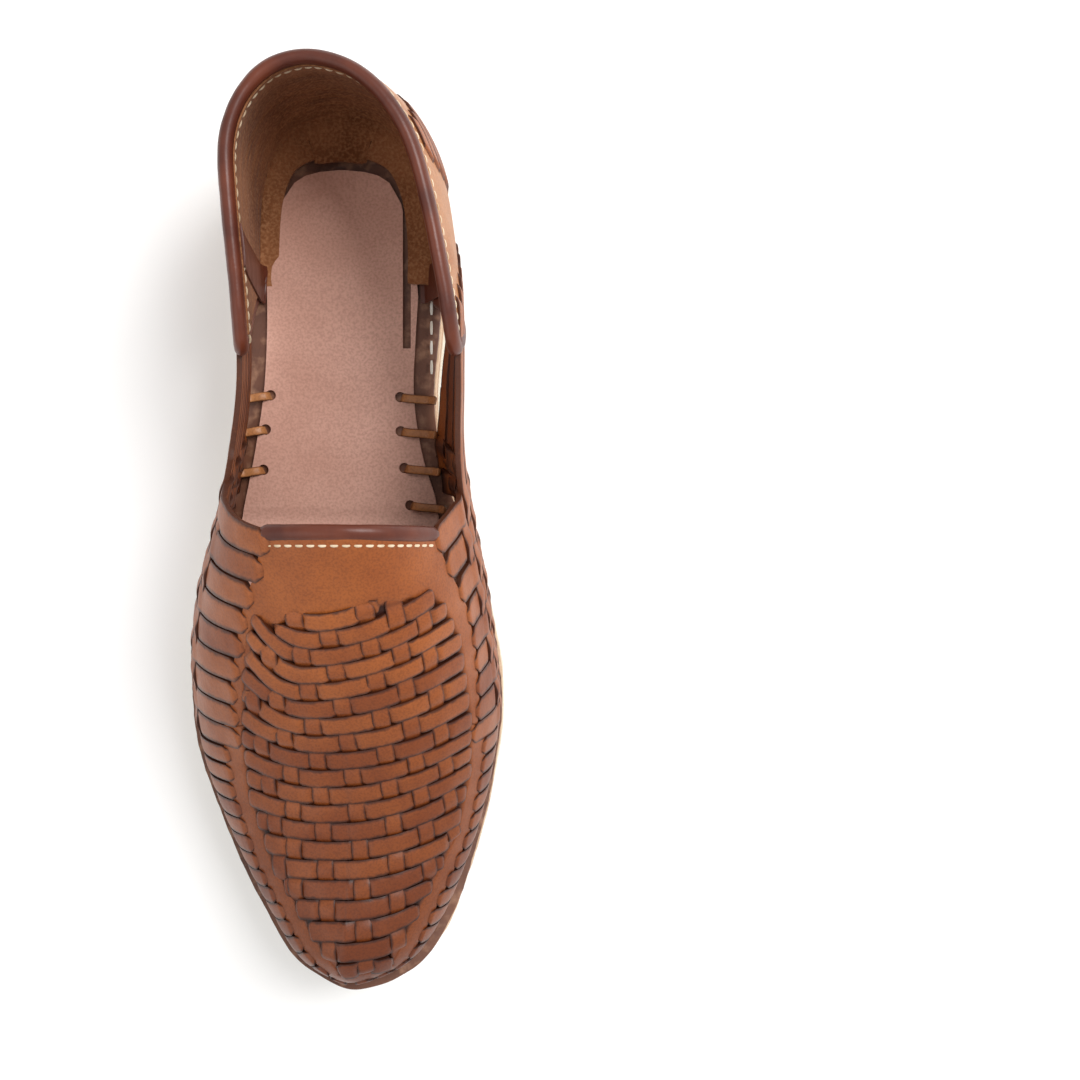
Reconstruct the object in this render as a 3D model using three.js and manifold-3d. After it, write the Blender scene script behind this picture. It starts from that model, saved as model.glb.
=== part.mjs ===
import * as THREE from 'three';
import { mergeVertices } from 'three/addons/utils/BufferGeometryUtils.js';
import Module from 'manifold-3d';

// Woven leather huarache, right shoe: +Y to the toe, +X lateral, +Z up, floor at zero.

const wasm = await Module();
wasm.setup();

// Driving dimensions, in millimetres
const soleLength = 290;
const ballWidth = 103;
const instepHeight = 88;
const collarHeight = 84;
const toeSpring = 20;
const archRise = 2.5;
const outsoleThickness = 5;
const midsoleThickness = 4.6;
const boardThickness = 2.2;
const heelLift = 10.2;
const sockThickness = 1.2;
const wallThickness = 2.2;
const liningThickness = 1.2;
const seam = 0.3;
const deep = 30;
const stripWidth = 4.9;
const stripPitch = 6.4;
const stripThickness = 2;
const strapThickness = 1.8;
const weaveRelief = 0.8;
const bindingDiameter = 4;
const slotWidth = 2.6;
const holeDiameter = 3.4;
const thongWidth = 3;
const bandWidth = 11;
const thongThickness = 1.6;

const table = (names, rows) => rows.map((row) => Object.fromEntries(names.split(' ').map((name, i) => [name, row[i]])));

// Sole plan: place along the sole in shares of its length, half widths in shares of the ball width.
// The upper's foot line lies inside the sole edge by the two insets, in shares of the ball width.
const plan = table('along lateral medial insetLateral insetMedial', [
  [0.000, 0.000, 0.000, 0.100, 0.100],
  [0.011, 0.130, 0.130, 0.095, 0.095],
  [0.035, 0.212, 0.212, 0.075, 0.075],
  [0.070, 0.279, 0.279, 0.058, 0.058],
  [0.120, 0.322, 0.322, 0.045, 0.042],
  [0.190, 0.333, 0.330, 0.040, 0.030],
  [0.276, 0.333, 0.308, 0.040, 0.020],
  [0.345, 0.346, 0.293, 0.040, 0.012],
  [0.414, 0.380, 0.312, 0.040, 0.006],
  [0.483, 0.428, 0.370, 0.040, 0.006],
  [0.552, 0.476, 0.438, 0.044, 0.010],
  [0.624, 0.507, 0.486, 0.050, 0.018],
  [0.690, 0.503, 0.504, 0.053, 0.020],
  [0.752, 0.471, 0.490, 0.053, 0.024],
  [0.814, 0.404, 0.457, 0.053, 0.029],
  [0.869, 0.324, 0.413, 0.053, 0.035],
  [0.921, 0.235, 0.359, 0.053, 0.044],
  [0.962, 0.154, 0.290, 0.053, 0.050],
  [0.986, 0.060, 0.200, 0.053, 0.053],
  [1.000, -0.058, 0.058, 0.053, 0.053],
]);

// Last: the crown's place across (share of ball width), along (share of length) and over the insole
// (share of instep height), how full each wall is, and how far it swells (share of ball width) and where.
const crown = table('across along rise fullLateral fullMedial swellLateral swellMedial swellAt', [
  [0.000, 0.142, 1.08, 2.0, 2.0, 0.055, 0.055, 0.27],
  [-0.010, 0.143, 1.08, 2.0, 2.0, 0.053, 0.055, 0.27],
  [-0.022, 0.147, 1.08, 2.0, 2.0, 0.045, 0.055, 0.28],
  [-0.036, 0.156, 1.08, 2.1, 2.1, 0.028, 0.056, 0.30],
  [-0.056, 0.178, 1.08, 2.3, 2.3, 0.004, 0.062, 0.34],
  [-0.077, 0.222, 1.08, 2.3, 2.4, -0.018, 0.084, 0.40],
  [-0.091, 0.280, 1.09, 2.2, 2.4, -0.034, 0.125, 0.44],
  [-0.096, 0.336, 1.09, 2.1, 2.4, -0.044, 0.132, 0.44],
  [-0.098, 0.402, 1.07, 2.1, 2.4, -0.044, 0.106, 0.44],
  [-0.095, 0.474, 1.01, 2.1, 2.4, -0.034, 0.068, 0.42],
  [-0.090, 0.545, 0.90, 2.1, 2.4, -0.012, 0.034, 0.38],
  [-0.085, 0.616, 0.765, 2.1, 2.4, 0.000, 0.016, 0.35],
  [-0.080, 0.680, 0.64, 2.1, 2.4, 0.006, 0.014, 0.35],
  [-0.075, 0.738, 0.515, 2.1, 2.4, 0.010, 0.014, 0.35],
  [-0.071, 0.790, 0.415, 2.2, 2.4, 0.010, 0.014, 0.35],
  [-0.067, 0.832, 0.350, 2.3, 2.4, 0.010, 0.012, 0.35],
  [-0.063, 0.866, 0.300, 2.4, 2.5, 0.010, 0.010, 0.35],
  [-0.060, 0.890, 0.268, 2.5, 2.6, 0.008, 0.008, 0.35],
  [-0.058, 0.900, 0.252, 2.6, 2.6, 0.008, 0.008, 0.35],
  [-0.058, 0.904, 0.246, 2.6, 2.6, 0.008, 0.008, 0.35],
]);
const lastRow = plan.length - 1;

// A smooth curve through a column, read round the heel and the toe on to the other side.
function spline(read, t) {
  const k = Math.min(Math.floor(t), lastRow - 1);
  const f = t - k;
  const [a, b, c, d] = [read(k - 1), read(k), read(k + 1), read(k + 2)];
  return 0.5 * (2 * b + (c - a) * f + (2 * a - 5 * b + 4 * c - d) * f * f + (3 * b - a - 3 * c + d) * f * f * f);
}
function round(side, index) {
  if (index < 0) return [-side, -index];
  if (index > lastRow) return [-side, 2 * lastRow - index];
  return [side, index];
}
function column(rows, lateralName, medialName, side, t) {
  return spline((index) => {
    const [s, k] = round(side, index);
    return rows[k][s > 0 ? lateralName : medialName];
  }, t);
}
const acrossAt = (side, t) => spline((index) => {
  const [s, k] = round(side, index);
  return s * (s > 0 ? plan[k].lateral : plan[k].medial) * ballWidth;
}, t);
const alongAt = (side, t) => column(plan, 'along', 'along', side, t) * soleLength;

// Sole heights over the floor: flat under heel and ball, a slight arch, and the toe spring.
const heelFlat = 0.13;
const archEnd = 0.55;
const springStart = 0.66;
const smooth = (x) => {
  const c = Math.min(Math.max(x, 0), 1);
  return c * c * (3 - 2 * c);
};
function floorLine(y) {
  const s = y / soleLength;
  const arch = s > heelFlat && s < archEnd ? Math.sin(Math.PI * (s - heelFlat) / (archEnd - heelFlat)) ** 2 : 0;
  const spring = s > springStart ? ((s - springStart) / (1 - springStart)) ** 1.7 : 0;
  return archRise * arch + toeSpring * spring;
}
const liftRows = table('along share', [[0, 1], [0.1, 0.88], [0.2, 0.75], [0.3, 0.6], [0.4, 0.36], [0.48, 0.05]]);
const wedgeEnd = liftRows.at(-1).along;
function wedgeLine(y) {
  const s = Math.max(y / soleLength, 0);
  if (s >= wedgeEnd) return 0;
  const k = liftRows.findIndex((row) => row.along > s);
  const [a, b] = [liftRows[k - 1], liftRows[k]];
  return heelLift * (a.share + (b.share - a.share) * (s - a.along) / (b.along - a.along));
}
const outsoleTop = (y) => floorLine(y) + outsoleThickness;
const wedgeTop = (y) => outsoleTop(y) + wedgeLine(y) * (1 + seam / heelLift);
const midsoleBottom = (y) => wedgeTop(y) + seam;
const midsoleTop = (y) => midsoleBottom(y) + midsoleThickness;
const boardBottom = (y) => midsoleTop(y) + seam;
const boardTop = (y) => boardBottom(y) + boardThickness;
const sockBottom = (y) => boardTop(y) + seam;
const sockTop = (y) => sockBottom(y) + sockThickness;

// The sole edge, drawn in by an inset along its own normal
const step = 0.02;
function edge(side, t, inset) {
  const a = Math.max(t - step, 0);
  const b = Math.min(t + step, lastRow);
  let dx = acrossAt(side, b) - acrossAt(side, a);
  let dy = alongAt(side, b) - alongAt(side, a);
  if (t === 0) [dx, dy] = [side, 0];
  if (t === lastRow) [dx, dy] = [-side, 0];
  const length = Math.hypot(dx, dy);
  const normal = [side * dy / length, -side * dx / length];
  return {
    x: acrossAt(side, t) - normal[0] * inset,
    y: alongAt(side, t) - normal[1] * inset,
    normal,
  };
}

// The last's surface: 0 at the foot line and 1 at the crown, lifted off the surface by a distance
const footInset = (side, t) => column(plan, 'insetLateral', 'insetMedial', side, t) * ballWidth;
const fullness = (side, t) => column(crown, 'fullLateral', 'fullMedial', side, t);
function wall(side, t) {
  const foot = edge(side, t, footInset(side, t));
  const base = boardTop(foot.y) + seam;
  return {
    foot,
    base,
    top: {
      x: column(crown, 'across', 'across', side, t) * ballWidth,
      y: column(crown, 'along', 'along', side, t) * soleLength,
      z: base + column(crown, 'rise', 'rise', side, t) * instepHeight,
    },
    full: fullness(side, t),
    swell: column(crown, 'swellLateral', 'swellMedial', side, t) * ballWidth,
    swellAt: column(crown, 'swellAt', 'swellAt', side, t),
  };
}
function onWall(w, up) {
  const angle = Math.PI / 2 * Math.min(Math.max(up, 0), 1);
  const share = Math.sin(angle) ** (2 / w.full);
  const inward = up >= 1 ? 0 : Math.cos(angle) ** (2 / w.full);
  const swell = w.swell * Math.sin(Math.PI * Math.min(share, 1) ** (Math.log(0.5) / Math.log(w.swellAt)));
  return new THREE.Vector3(
    w.top.x + (w.foot.x - w.top.x) * inward + w.foot.normal[0] * swell,
    w.top.y + (w.foot.y - w.top.y) * inward + w.foot.normal[1] * swell,
    w.base + (w.top.z - w.base) * share,
  );
}
const lastPoint = (side, t, up) => onWall(wall(side, t), up);
function oneNormal(side, t, up) {
  const u = Math.min(up, 0.96);
  const a = lastPoint(side, Math.max(t - step, 0), u);
  const b = lastPoint(side, Math.min(t + step, lastRow), u);
  const low = lastPoint(side, t, Math.max(u - step, 0));
  const high = lastPoint(side, t, u + step);
  const along = b.sub(a);
  if (t === 0) along.set(side, 0, 0);
  if (t === lastRow) along.set(-side, 0, 0);
  return along.cross(high.sub(low)).multiplyScalar(side).normalize();
}
function lastNormal(side, t, up) {
  const normal = oneNormal(side, t, up);
  if (up > 0.96) normal.lerp(oneNormal(side, t, up).add(oneNormal(-side, t, up)), (up - 0.96) / 0.04).normalize();
  return normal;
}
function onLast(side, t, up, lift) {
  const normal = lastNormal(side, t, up);
  return { point: lastPoint(side, t, up).addScaledVector(normal, lift), normal };
}

// The wall share that has a height, and the station that has a place along the shoe at that height
function upAt(side, t, z) {
  const w = wall(side, t);
  const share = Math.min(Math.max((z - w.base) / (w.top.z - w.base), 0), 1);
  return Math.asin(share ** (w.full / 2)) * 2 / Math.PI;
}
function search(low, high, isBelow) {
  let [a, b] = [low, high];
  for (let i = 0; i < 26; i++) {
    const middle = (a + b) / 2;
    if (isBelow(middle)) a = middle;
    else b = middle;
  }
  return (a + b) / 2;
}
const stationAt = (side, y, z) => search(0, lastRow, (t) => lastPoint(side, t, upAt(side, t, z)).y < y);
const stationAtUp = (side, y, up) => search(0, lastRow, (t) => lastPoint(side, t, up).y < y);
function sideSpot(side, y, z, lift) {
  const t = stationAt(side, y, z);
  return onLast(side, t, upAt(side, t, z), lift);
}
// A spot on the vamp seen from above
function topSpot(x, y, lift) {
  const ridge = lastPoint(1, stationAtUp(1, y, 1), 1).x;
  const side = x > ridge ? 1 : -1;
  const up = search(0.3, 1, (u) => side * lastPoint(side, stationAtUp(side, y, u), u).x > side * x);
  return onLast(side, stationAtUp(side, y, up), up, lift);
}

// Closed meshes
function solid(points, faces) {
  const geometry = new THREE.BufferGeometry();
  geometry.setAttribute('position', new THREE.Float32BufferAttribute(points.flatMap((p) => [p.x, p.y, p.z]), 3));
  geometry.setIndex(faces.flat());
  const merged = mergeVertices(geometry, 1e-3);
  const index = [...merged.index.array];
  const kept = [];
  for (let i = 0; i < index.length; i += 3) {
    const [a, b, c] = index.slice(i, i + 3);
    if (a !== b && b !== c && c !== a) kept.push(a, b, c);
  }
  const position = merged.attributes.position.array;
  let volume = 0;
  for (let i = 0; i < kept.length; i += 3) {
    const [a, b, c] = [0, 1, 2].map((k) => new THREE.Vector3().fromArray(position, 3 * kept[i + k]));
    volume += a.dot(b.cross(c));
  }
  if (volume < 0) {
    for (let i = 0; i < kept.length; i += 3) [kept[i], kept[i + 1]] = [kept[i + 1], kept[i]];
  }
  const mesh = new wasm.Mesh({ numProp: 3, vertProperties: new Float32Array(position), triVerts: new Uint32Array(kept) });
  return new wasm.Manifold(mesh);
}
function loft(rings) {
  const n = rings[0].length;
  const faces = [];
  for (let i = 0; i + 1 < rings.length; i++) {
    for (let k = 0; k < n; k++) {
      const [a, b] = [i * n + k, i * n + (k + 1) % n];
      faces.push([a, b, b + n], [a, b + n, a + n]);
    }
  }
  const end = (rings.length - 1) * n;
  for (let k = 1; k + 1 < n; k++) faces.push([0, k + 1, k], [end, end + k, end + k + 1]);
  return solid(rings.flat(), faces);
}
// A sheet with a wall: grid of outer points over a grid of inner points
function sheet(outer, inner) {
  const [rows, columns] = [outer.length, outer[0].length];
  const at = (layer, i, k) => layer * rows * columns + i * columns + k;
  const faces = [];
  for (let i = 0; i + 1 < rows; i++) {
    for (let k = 0; k + 1 < columns; k++) {
      faces.push([at(0, i, k), at(0, i, k + 1), at(0, i + 1, k + 1)], [at(0, i, k), at(0, i + 1, k + 1), at(0, i + 1, k)]);
      faces.push([at(1, i, k), at(1, i + 1, k + 1), at(1, i, k + 1)], [at(1, i, k), at(1, i + 1, k), at(1, i + 1, k + 1)]);
    }
  }
  const border = [];
  for (let k = 0; k + 1 < columns; k++) border.push([0, k, 0, k + 1], [rows - 1, k + 1, rows - 1, k]);
  for (let i = 0; i + 1 < rows; i++) border.push([i + 1, 0, i, 0], [i, columns - 1, i + 1, columns - 1]);
  for (const [i, k, j, l] of border) {
    faces.push([at(0, i, k), at(1, i, k), at(1, j, l)], [at(0, i, k), at(1, j, l), at(0, j, l)]);
  }
  return solid([...outer.flat(), ...inner.flat()], faces);
}
// A flat strip of leather along spots on the last
function ribbon(spots, width, low, high) {
  const rings = spots.map(({ point, normal }, i) => {
    const before = spots[Math.max(i - 1, 0)].point;
    const after = spots[Math.min(i + 1, spots.length - 1)].point;
    const across = after.clone().sub(before).cross(normal).normalize().multiplyScalar(width / 2);
    const corner = (s, lift) => point.clone().addScaledVector(across, s).addScaledVector(normal, lift);
    return [corner(1, low), corner(1, high), corner(-1, high), corner(-1, low)];
  });
  return loft(rings);
}
const join = (pieces) => wasm.Manifold.union(pieces);
const range = (n) => Array.from({ length: n }, (_, i) => i);
const mix = (a, b, f) => a + (b - a) * f;
function line(rows, x) {
  const k = Math.min(Math.max(rows.findIndex((row) => row[0] >= x), 1), rows.length - 1);
  const [a, b] = [rows[k - 1], rows[k]];
  return mix(a[1], b[1], Math.min(Math.max((x - a[0]) / (b[0] - a[0]), 0), 1));
}

// Sole layers: sections across the sole from heel to toe
function layer(bottom, top, inset, from, to, steps, chamfer = 0) {
  const rings = range(steps + 1).map((i) => {
    const t = mix(from, to, i / steps);
    const [l, m] = [edge(1, t, inset), edge(-1, t, inset)];
    const inward = chamfer * Math.min(1, (l.x - m.x) / (8 * chamfer || 1));
    const spot = (e, side, height, rise, cut) => new THREE.Vector3(e.x - side * cut, e.y, height(e.y) + rise);
    const corners = (e, side) => [
      spot(e, side, bottom, 0, inward), ...(chamfer ? [spot(e, side, bottom, chamfer, 0)] : []), spot(e, side, top, 0, 0),
    ];
    return [...corners(l, 1), ...corners(m, -1).reverse()];
  });
  return loft(rings);
}

// Topline of the counter, rail of the vamp and throat, in shares of length and collar height
const topline = [[0.04, 1.0], [0.10, 1.005], [0.17, 0.985], [0.24, 0.955], [0.285, 0.925], [0.32, 0.86]]
  .map(([along, high]) => [along * soleLength, high * collarHeight - bindingDiameter - seam]);
const counterFront = [[0, 0.235], [0.3, 0.262], [0.75, 0.305], [1, 0.318]].map(([up, along]) => [up, along * soleLength]);
const rail = [[0.50, 0.81], [0.53, 0.775], [0.56, 0.715], [0.59, 0.66], [0.63, 0.60], [0.68, 0.555],
  [0.75, 0.54], [0.82, 0.56], [0.88, 0.595], [0.94, 0.625], [1, 0.64]]
  .map(([along, high]) => [along * soleLength, high * collarHeight]);
const throatAlong = 0.507 * soleLength;

// Heel counter, a shell round the heel
function counterGrid(lift, trim = 0) {
  const [around, high] = [16, 4];
  return range(high + 1).map((j) => {
    const v = j / high;
    return range(around + 1).map((k) => {
      const u = 2 * k / around - 1;
      const side = u < 0 ? 1 : -1;
      const frontAlong = line(counterFront, v) - trim;
      const frontHigh = mix(boardTop(frontAlong) + seam, line(topline, frontAlong), v);
      const t = Math.abs(u) ** 0.85 * stationAt(side, frontAlong, frontHigh);
      const low = boardTop(lastPoint(side, t, 0).y) + seam;
      const guess = lastPoint(side, t, upAt(side, t, collarHeight)).y;
      const z = mix(low, line(topline, guess) - trim / 4, v);
      return onLast(side, t, upAt(side, t, z), lift).point;
    });
  });
}
const counter = sheet(counterGrid(0), counterGrid(-wallThickness));

// Vamp shell over the toes, cut square at the throat
function vampGrid(lift) {
  const start = stationAtUp(1, throatAlong - 2.5 * stripWidth, 1);
  const [rows, half] = [11, 4];
  const railUp = (side, t) => {
    const y = lastPoint(side, t, 0.45).y;
    return upAt(side, t, line(rail, y));
  };
  return range(rows + 1).map((i) => {
    const t = mix(start, lastRow, (i / rows) ** 0.9);
    const leg = (side) => range(half).map((k) => onLast(side, t, mix(railUp(side, t), 1, k / half), lift).point);
    return [...leg(1), onLast(1, t, 1, lift).point, ...leg(-1).reverse()];
  });
}
function box(x, y, z, width, depth, height) {
  const geometry = new THREE.BoxGeometry(width, depth, height).translate(x, y, z);
  return fromGeometry(geometry);
}
function fromGeometry(source) {
  const geometry = source.index ? source.toNonIndexed() : source;
  const position = geometry.attributes.position;
  const points = range(position.count).map((i) => new THREE.Vector3().fromBufferAttribute(position, i));
  return solid(points, range(position.count / 3).map((i) => [3 * i, 3 * i + 1, 3 * i + 2]));
}
const vamp = sheet(vampGrid(0), vampGrid(-wallThickness))
  .subtract(box(0, throatAlong - soleLength / 4, instepHeight, 2 * ballWidth, soleLength / 2, 2 * instepHeight));

// Weft bricks of the vamp, raised rows with every other column showing
const columnsAcross = [0.165, 0.095, 0.018, -0.078, -0.177, -0.27, -0.36];
const brickLength = 0.12 * ballWidth;
const toeSqueeze = 0.42;
const toeBrick = 0.62;
const brickMargin = 0.5;
const brickLift = 0.3;
const rowBow = 0.41 / ballWidth;
const firstRow = 0.592 * soleLength;
const rowPitch = 5.6;
const weaveEnd = 0.962 * soleLength;
const rowCount = Math.floor((weaveEnd - firstRow) / rowPitch) + 1;
function bricks() {
  const made = [];
  for (const r of range(rowCount)) {
    const y = firstRow + r * rowPitch;
    const toToe = (r / (rowCount - 1)) ** 2;
    const middle = crown[lastRow / 2 | 0].across * ballWidth;
    columnsAcross.forEach((across, c) => {
      if ((r + c) % 2) return;
      const centre = mix(middle, across * ballWidth, mix(1, toeSqueeze, toToe));
      const length = brickLength * mix(1, toeBrick, toToe);
      const spots = [-0.5, 0.5].map((f) => topSpot(centre + f * length, y - rowBow * (centre - middle) ** 2, 0));
      made.push(ribbon(spots, stripWidth - brickMargin, -wallThickness / 2, weaveRelief + brickLift));
    });
  }
  return made;
}

// Side strips from the vamp's rail down to the sole, round the toe to the ball
function footDistances(side) {
  const samples = range(lastRow * 8 + 1).map((i) => lastRow - i / 8);
  let total = 0;
  let previous = lastPoint(side, lastRow, 0);
  return samples.map((t) => {
    const point = lastPoint(side, t, 0);
    total += point.distanceTo(previous);
    previous = point;
    return [total, t];
  });
}
const stripsEnd = 0.715 * soleLength;
function sideStrips(side) {
  const distances = footDistances(side);
  const made = [];
  for (let distance = stripPitch / 2; distance < soleLength / 2; distance += stripPitch) {
    const t = line(distances, distance);
    if (lastPoint(side, t, 0).y < stripsEnd) break;
    const railUp = upAt(side, t, line(rail, lastPoint(side, t, 0.45).y));
    const spots = range(3).map((i) => onLast(side, t, (railUp + 0.03) * (i / 2), 0));
    made.push(ribbon(spots, stripWidth, -stripThickness, weaveRelief / 2));
  }
  return made;
}

// Side weave: one family runs down and back from the rail, the other down and forward from the straps
const downStrips = table('railAlong soleAlong', [
  [0.712, 0.686], [0.688, 0.653], [0.663, 0.62], [0.638, 0.586], [0.613, 0.551], [0.588, 0.514],
  [0.563, 0.475], [0.538, 0.436], [0.514, 0.398],
]);
const forwardStrips = table('along high soleAlong backAlong backHigh width', [
  [0.455, 0.665, 0.735, 0.265, 0.80, 5.6],
  [0.425, 0.605, 0.69, 0.25, 0.745, 5.4],
  [0.41, 0.54, 0.64, 0.236, 0.69, 5.4],
  [0.39, 0.475, 0.585, 0.222, 0.63, 5.4],
  [0.378, 0.405, 0.525, 0.206, 0.57, 6.2],
  [0.365, 0.335, 0.455, 0.192, 0.505, 5.4],
]);
function sideWeave(side) {
  const made = [];
  for (const { railAlong, soleAlong } of downStrips) {
    const from = [railAlong * soleLength, line(rail, railAlong * soleLength) + stripWidth / 2];
    const to = [soleAlong * soleLength, boardTop(soleAlong * soleLength) + seam];
    const spots = range(3).map((i) => sideSpot(side, mix(from[0], to[0], i / 2), mix(from[1], to[1], i / 2), 0));
    made.push(ribbon(spots, stripWidth + 0.3, -stripThickness, 0));
  }
  for (const row of forwardStrips) {
    const corners = [
      [row.backAlong * soleLength, row.backHigh * collarHeight],
      [row.along * soleLength, row.high * collarHeight],
      [row.soleAlong * soleLength, boardTop(row.soleAlong * soleLength) + seam],
    ];
    const strap = range(3).map((i) => sideSpot(side, mix(corners[0][0], corners[1][0], i / 3),
      mix(corners[0][1], corners[1][1], i / 3), 0));
    const weave = range(4).map((i) => {
      const f = i / 3;
      const z = mix(corners[1][1], corners[2][1], f ** 0.9);
      return sideSpot(side, mix(corners[1][0], corners[2][0], f), z, 0);
    });
    made.push(ribbon([...strap, ...weave], row.width, -strapThickness / 2, weaveRelief + strapThickness / 2));
  }
  return made;
}

// Chevron strips laid on the counter
const chevrons = table('along high', [
  [0.155, 0.865], [0.146, 0.80], [0.137, 0.74], [0.126, 0.675], [0.116, 0.61], [0.107, 0.545],
]);
function counterStrips(side) {
  return chevrons.map(({ along, high }) => {
    const spots = [-stripWidth, stripWidth].map((d) => sideSpot(side, along * soleLength + d, high * collarHeight - d * 0.35, 0));
    return ribbon(spots, stripWidth - 0.4, -wallThickness / 2, weaveRelief);
  });
}

// What stands on the board is trimmed to it
const soleSteps = 34;
const boardStations = range(soleSteps + 1).map((i) => alongAt(1, lastRow * i / soleSteps));
const underBoard = loft([-deep, ...boardStations, soleLength + deep].map((y) => {
  const high = boardTop(y) + 0.9 * seam;
  const spot = (x, z) => new THREE.Vector3(x, y, z);
  return [spot(ballWidth, -deep), spot(ballWidth, high), spot(-ballWidth, high), spot(-ballWidth, -deep)];
}));
const upper = join([
  counter, vamp, ...bricks(),
  ...[1, -1].flatMap((side) => [...sideStrips(side), ...sideWeave(side), ...counterStrips(side)]),
]).subtract(underBoard);

function mesh(name, manifold, colour, roughness) {
  const data = manifold.getMesh();
  const geometry = new THREE.BufferGeometry();
  geometry.setAttribute('position', new THREE.BufferAttribute(new Float32Array(data.vertProperties), 3));
  geometry.setIndex(new THREE.BufferAttribute(new Uint32Array(data.triVerts), 1));
  geometry.computeVertexNormals();
  const made = new THREE.Mesh(geometry, new THREE.MeshStandardMaterial({ color: colour, roughness, metalness: 0 }));
  made.name = name;
  return made;
}

// Cuts and pegs seen from above
function peg(x, y, z, diameter, height, sides = 8) {
  const geometry = new THREE.CylinderGeometry(diameter / 2, diameter / 2, height, sides).rotateX(Math.PI / 2);
  return fromGeometry(geometry.translate(x, y, z));
}
function slot(x, y, z, width, depth, height) {
  return join([
    box(x, y, z, width, depth - width, height),
    ...[-1, 1].map((end) => peg(x, y + end * (depth - width) / 2, z, width, height)),
  ]);
}

// Insole sock: a tongue of leather from the heel to the toe with a round heel end, slots and thong holes
const sockInset = wallThickness + 2 * liningThickness + 4 * seam;
const sockHeel = 0.094 * soleLength;
const holes = table('side across along', [
  [1, 0.228, 0.345], [1, 0.246, 0.383], [1, 0.258, 0.428],
  [-1, 0.182, 0.347], [-1, 0.182, 0.385], [-1, 0.191, 0.426], [-1, 0.207, 0.468],
]);
const slots = table('side across from to', [[1, 0.252, 0.235, 0.293], [-1, 0.204, 0.11, 0.293]]);
const sockWaist = table('along lateral medial', [
  [0.094, 0.01, 0.01], [0.098, 0.09, 0.09], [0.108, 0.15, 0.15], [0.13, 0.192, 0.185], [0.18, 0.22, 0.222],
  [0.30, 0.30, 0.262], [0.40, 0.318, 0.262], [0.50, 0.36, 0.305],
]);
function sockSpread(y, side) {
  const along = y / soleLength;
  const name = side > 0 ? 'lateral' : 'medial';
  const free = line(sockWaist.map((row) => [row.along, row[name]]), along) * ballWidth;
  const t = search(0, lastRow, (u) => alongAt(side, u) < y);
  const limit = Math.abs(edge(side, t, footInset(side, t) + sockInset).x);
  return along > 0.5 ? limit : Math.min(free, limit);
}
function sockRings() {
  const ends = [sockHeel, 0.925 * soleLength];
  const bend = 0.048 * soleLength;
  return range(25).map((i) => {
    const f = i / 24;
    const y = i < 4 ? ends[0] + bend * (i / 4) ** 2 : mix(ends[0] + bend, ends[1], ((i - 4) / 20) ** 0.95);
    const [l, m] = [sockSpread(y, 1), -sockSpread(y, -1)];
    const spot = (x, z) => new THREE.Vector3(x, y, z);
    return [spot(l, sockBottom(y)), spot(l, sockTop(y)), spot(m, sockTop(y)), spot(m, sockBottom(y))];
  });
}
const sockPlain = loft(sockRings());
const cuts = join([
  ...holes.map(({ side, across, along }) => peg(side * across * ballWidth, along * soleLength, boardTop(along * soleLength),
    holeDiameter, deep / 6)),
  ...slots.map(({ side, across, from, to }) => slot(side * across * ballWidth, (from + to) / 2 * soleLength,
    boardTop((from + to) / 2 * soleLength), slotWidth, (to - from) * soleLength, deep / 4)),
]);
const sock = sockPlain.subtract(cuts);

// Thongs come up through the holes and run out to the weave
function thong({ side, across, along }) {
  const y = along * soleLength;
  const inner = side * across * ballWidth;
  const t = search(0, lastRow, (u) => alongAt(side, u) < y + thongThickness);
  const outer = edge(side, t, footInset(side, t) + 1.9 * stripThickness).x;
  const up = new THREE.Vector3(0, 0, 1);
  const low = sockTop(y) + seam + thongThickness / 2;
  const points = [
    new THREE.Vector3(inner, y, low), new THREE.Vector3(mix(inner, outer, 0.6), y + thongThickness / 2, low),
    new THREE.Vector3(outer, y + thongThickness, low + thongThickness / 3),
  ];
  return ribbon(points.map((point) => ({ point, normal: up })), thongWidth, -thongThickness / 2, thongThickness / 2);
}

// Suede lining inside the counter, and the two dark bands over its front ends
const lining = sheet(counterGrid(-wallThickness - seam, 3), counterGrid(-wallThickness - seam - liningThickness, 3))
  .subtract(underBoard);
function liningBand(side) {
  const y = 0.222 * soleLength;
  const low = sockTop(y) + 4 * seam;
  const depth = -wallThickness - 4 * seam - liningThickness;
  const spots = range(4).map((i) => sideSpot(side, y, mix(low, line(topline, y) - 3, i / 3), depth));
  return ribbon(spots, bandWidth, -liningThickness, 0);
}

// Rolled bindings along the collar and the throat
function tube(points, diameter, sides = 6) {
  const curve = new THREE.CatmullRomCurve3(points, false, 'centripetal');
  const shape = new THREE.Shape(range(sides).map((i) => {
    const angle = 2 * Math.PI * i / sides;
    return new THREE.Vector2(Math.cos(angle) * diameter / 2, Math.sin(angle) * diameter / 2);
  }));
  const options = { steps: points.length, bevelEnabled: false, extrudePath: curve };
  return fromGeometry(new THREE.ExtrudeGeometry(shape, options));
}
const collarEdge = [counterGrid(0).at(-1), counterGrid(-wallThickness).at(-1)];
const collarPath = collarEdge[0].map((point, i) => point.clone().lerp(collarEdge[1][i], 0.5));
collarPath.forEach((point) => { point.z += bindingDiameter / 2 + 2 * seam; });
const throatPath = range(9).map((i) => {
  const x = mix(0.165, -0.345, i / 8) * ballWidth;
  const spot = topSpot(x, throatAlong, -wallThickness / 2);
  return spot.point.add(new THREE.Vector3(0, -bindingDiameter / 2 - seam, 0));
});

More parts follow.
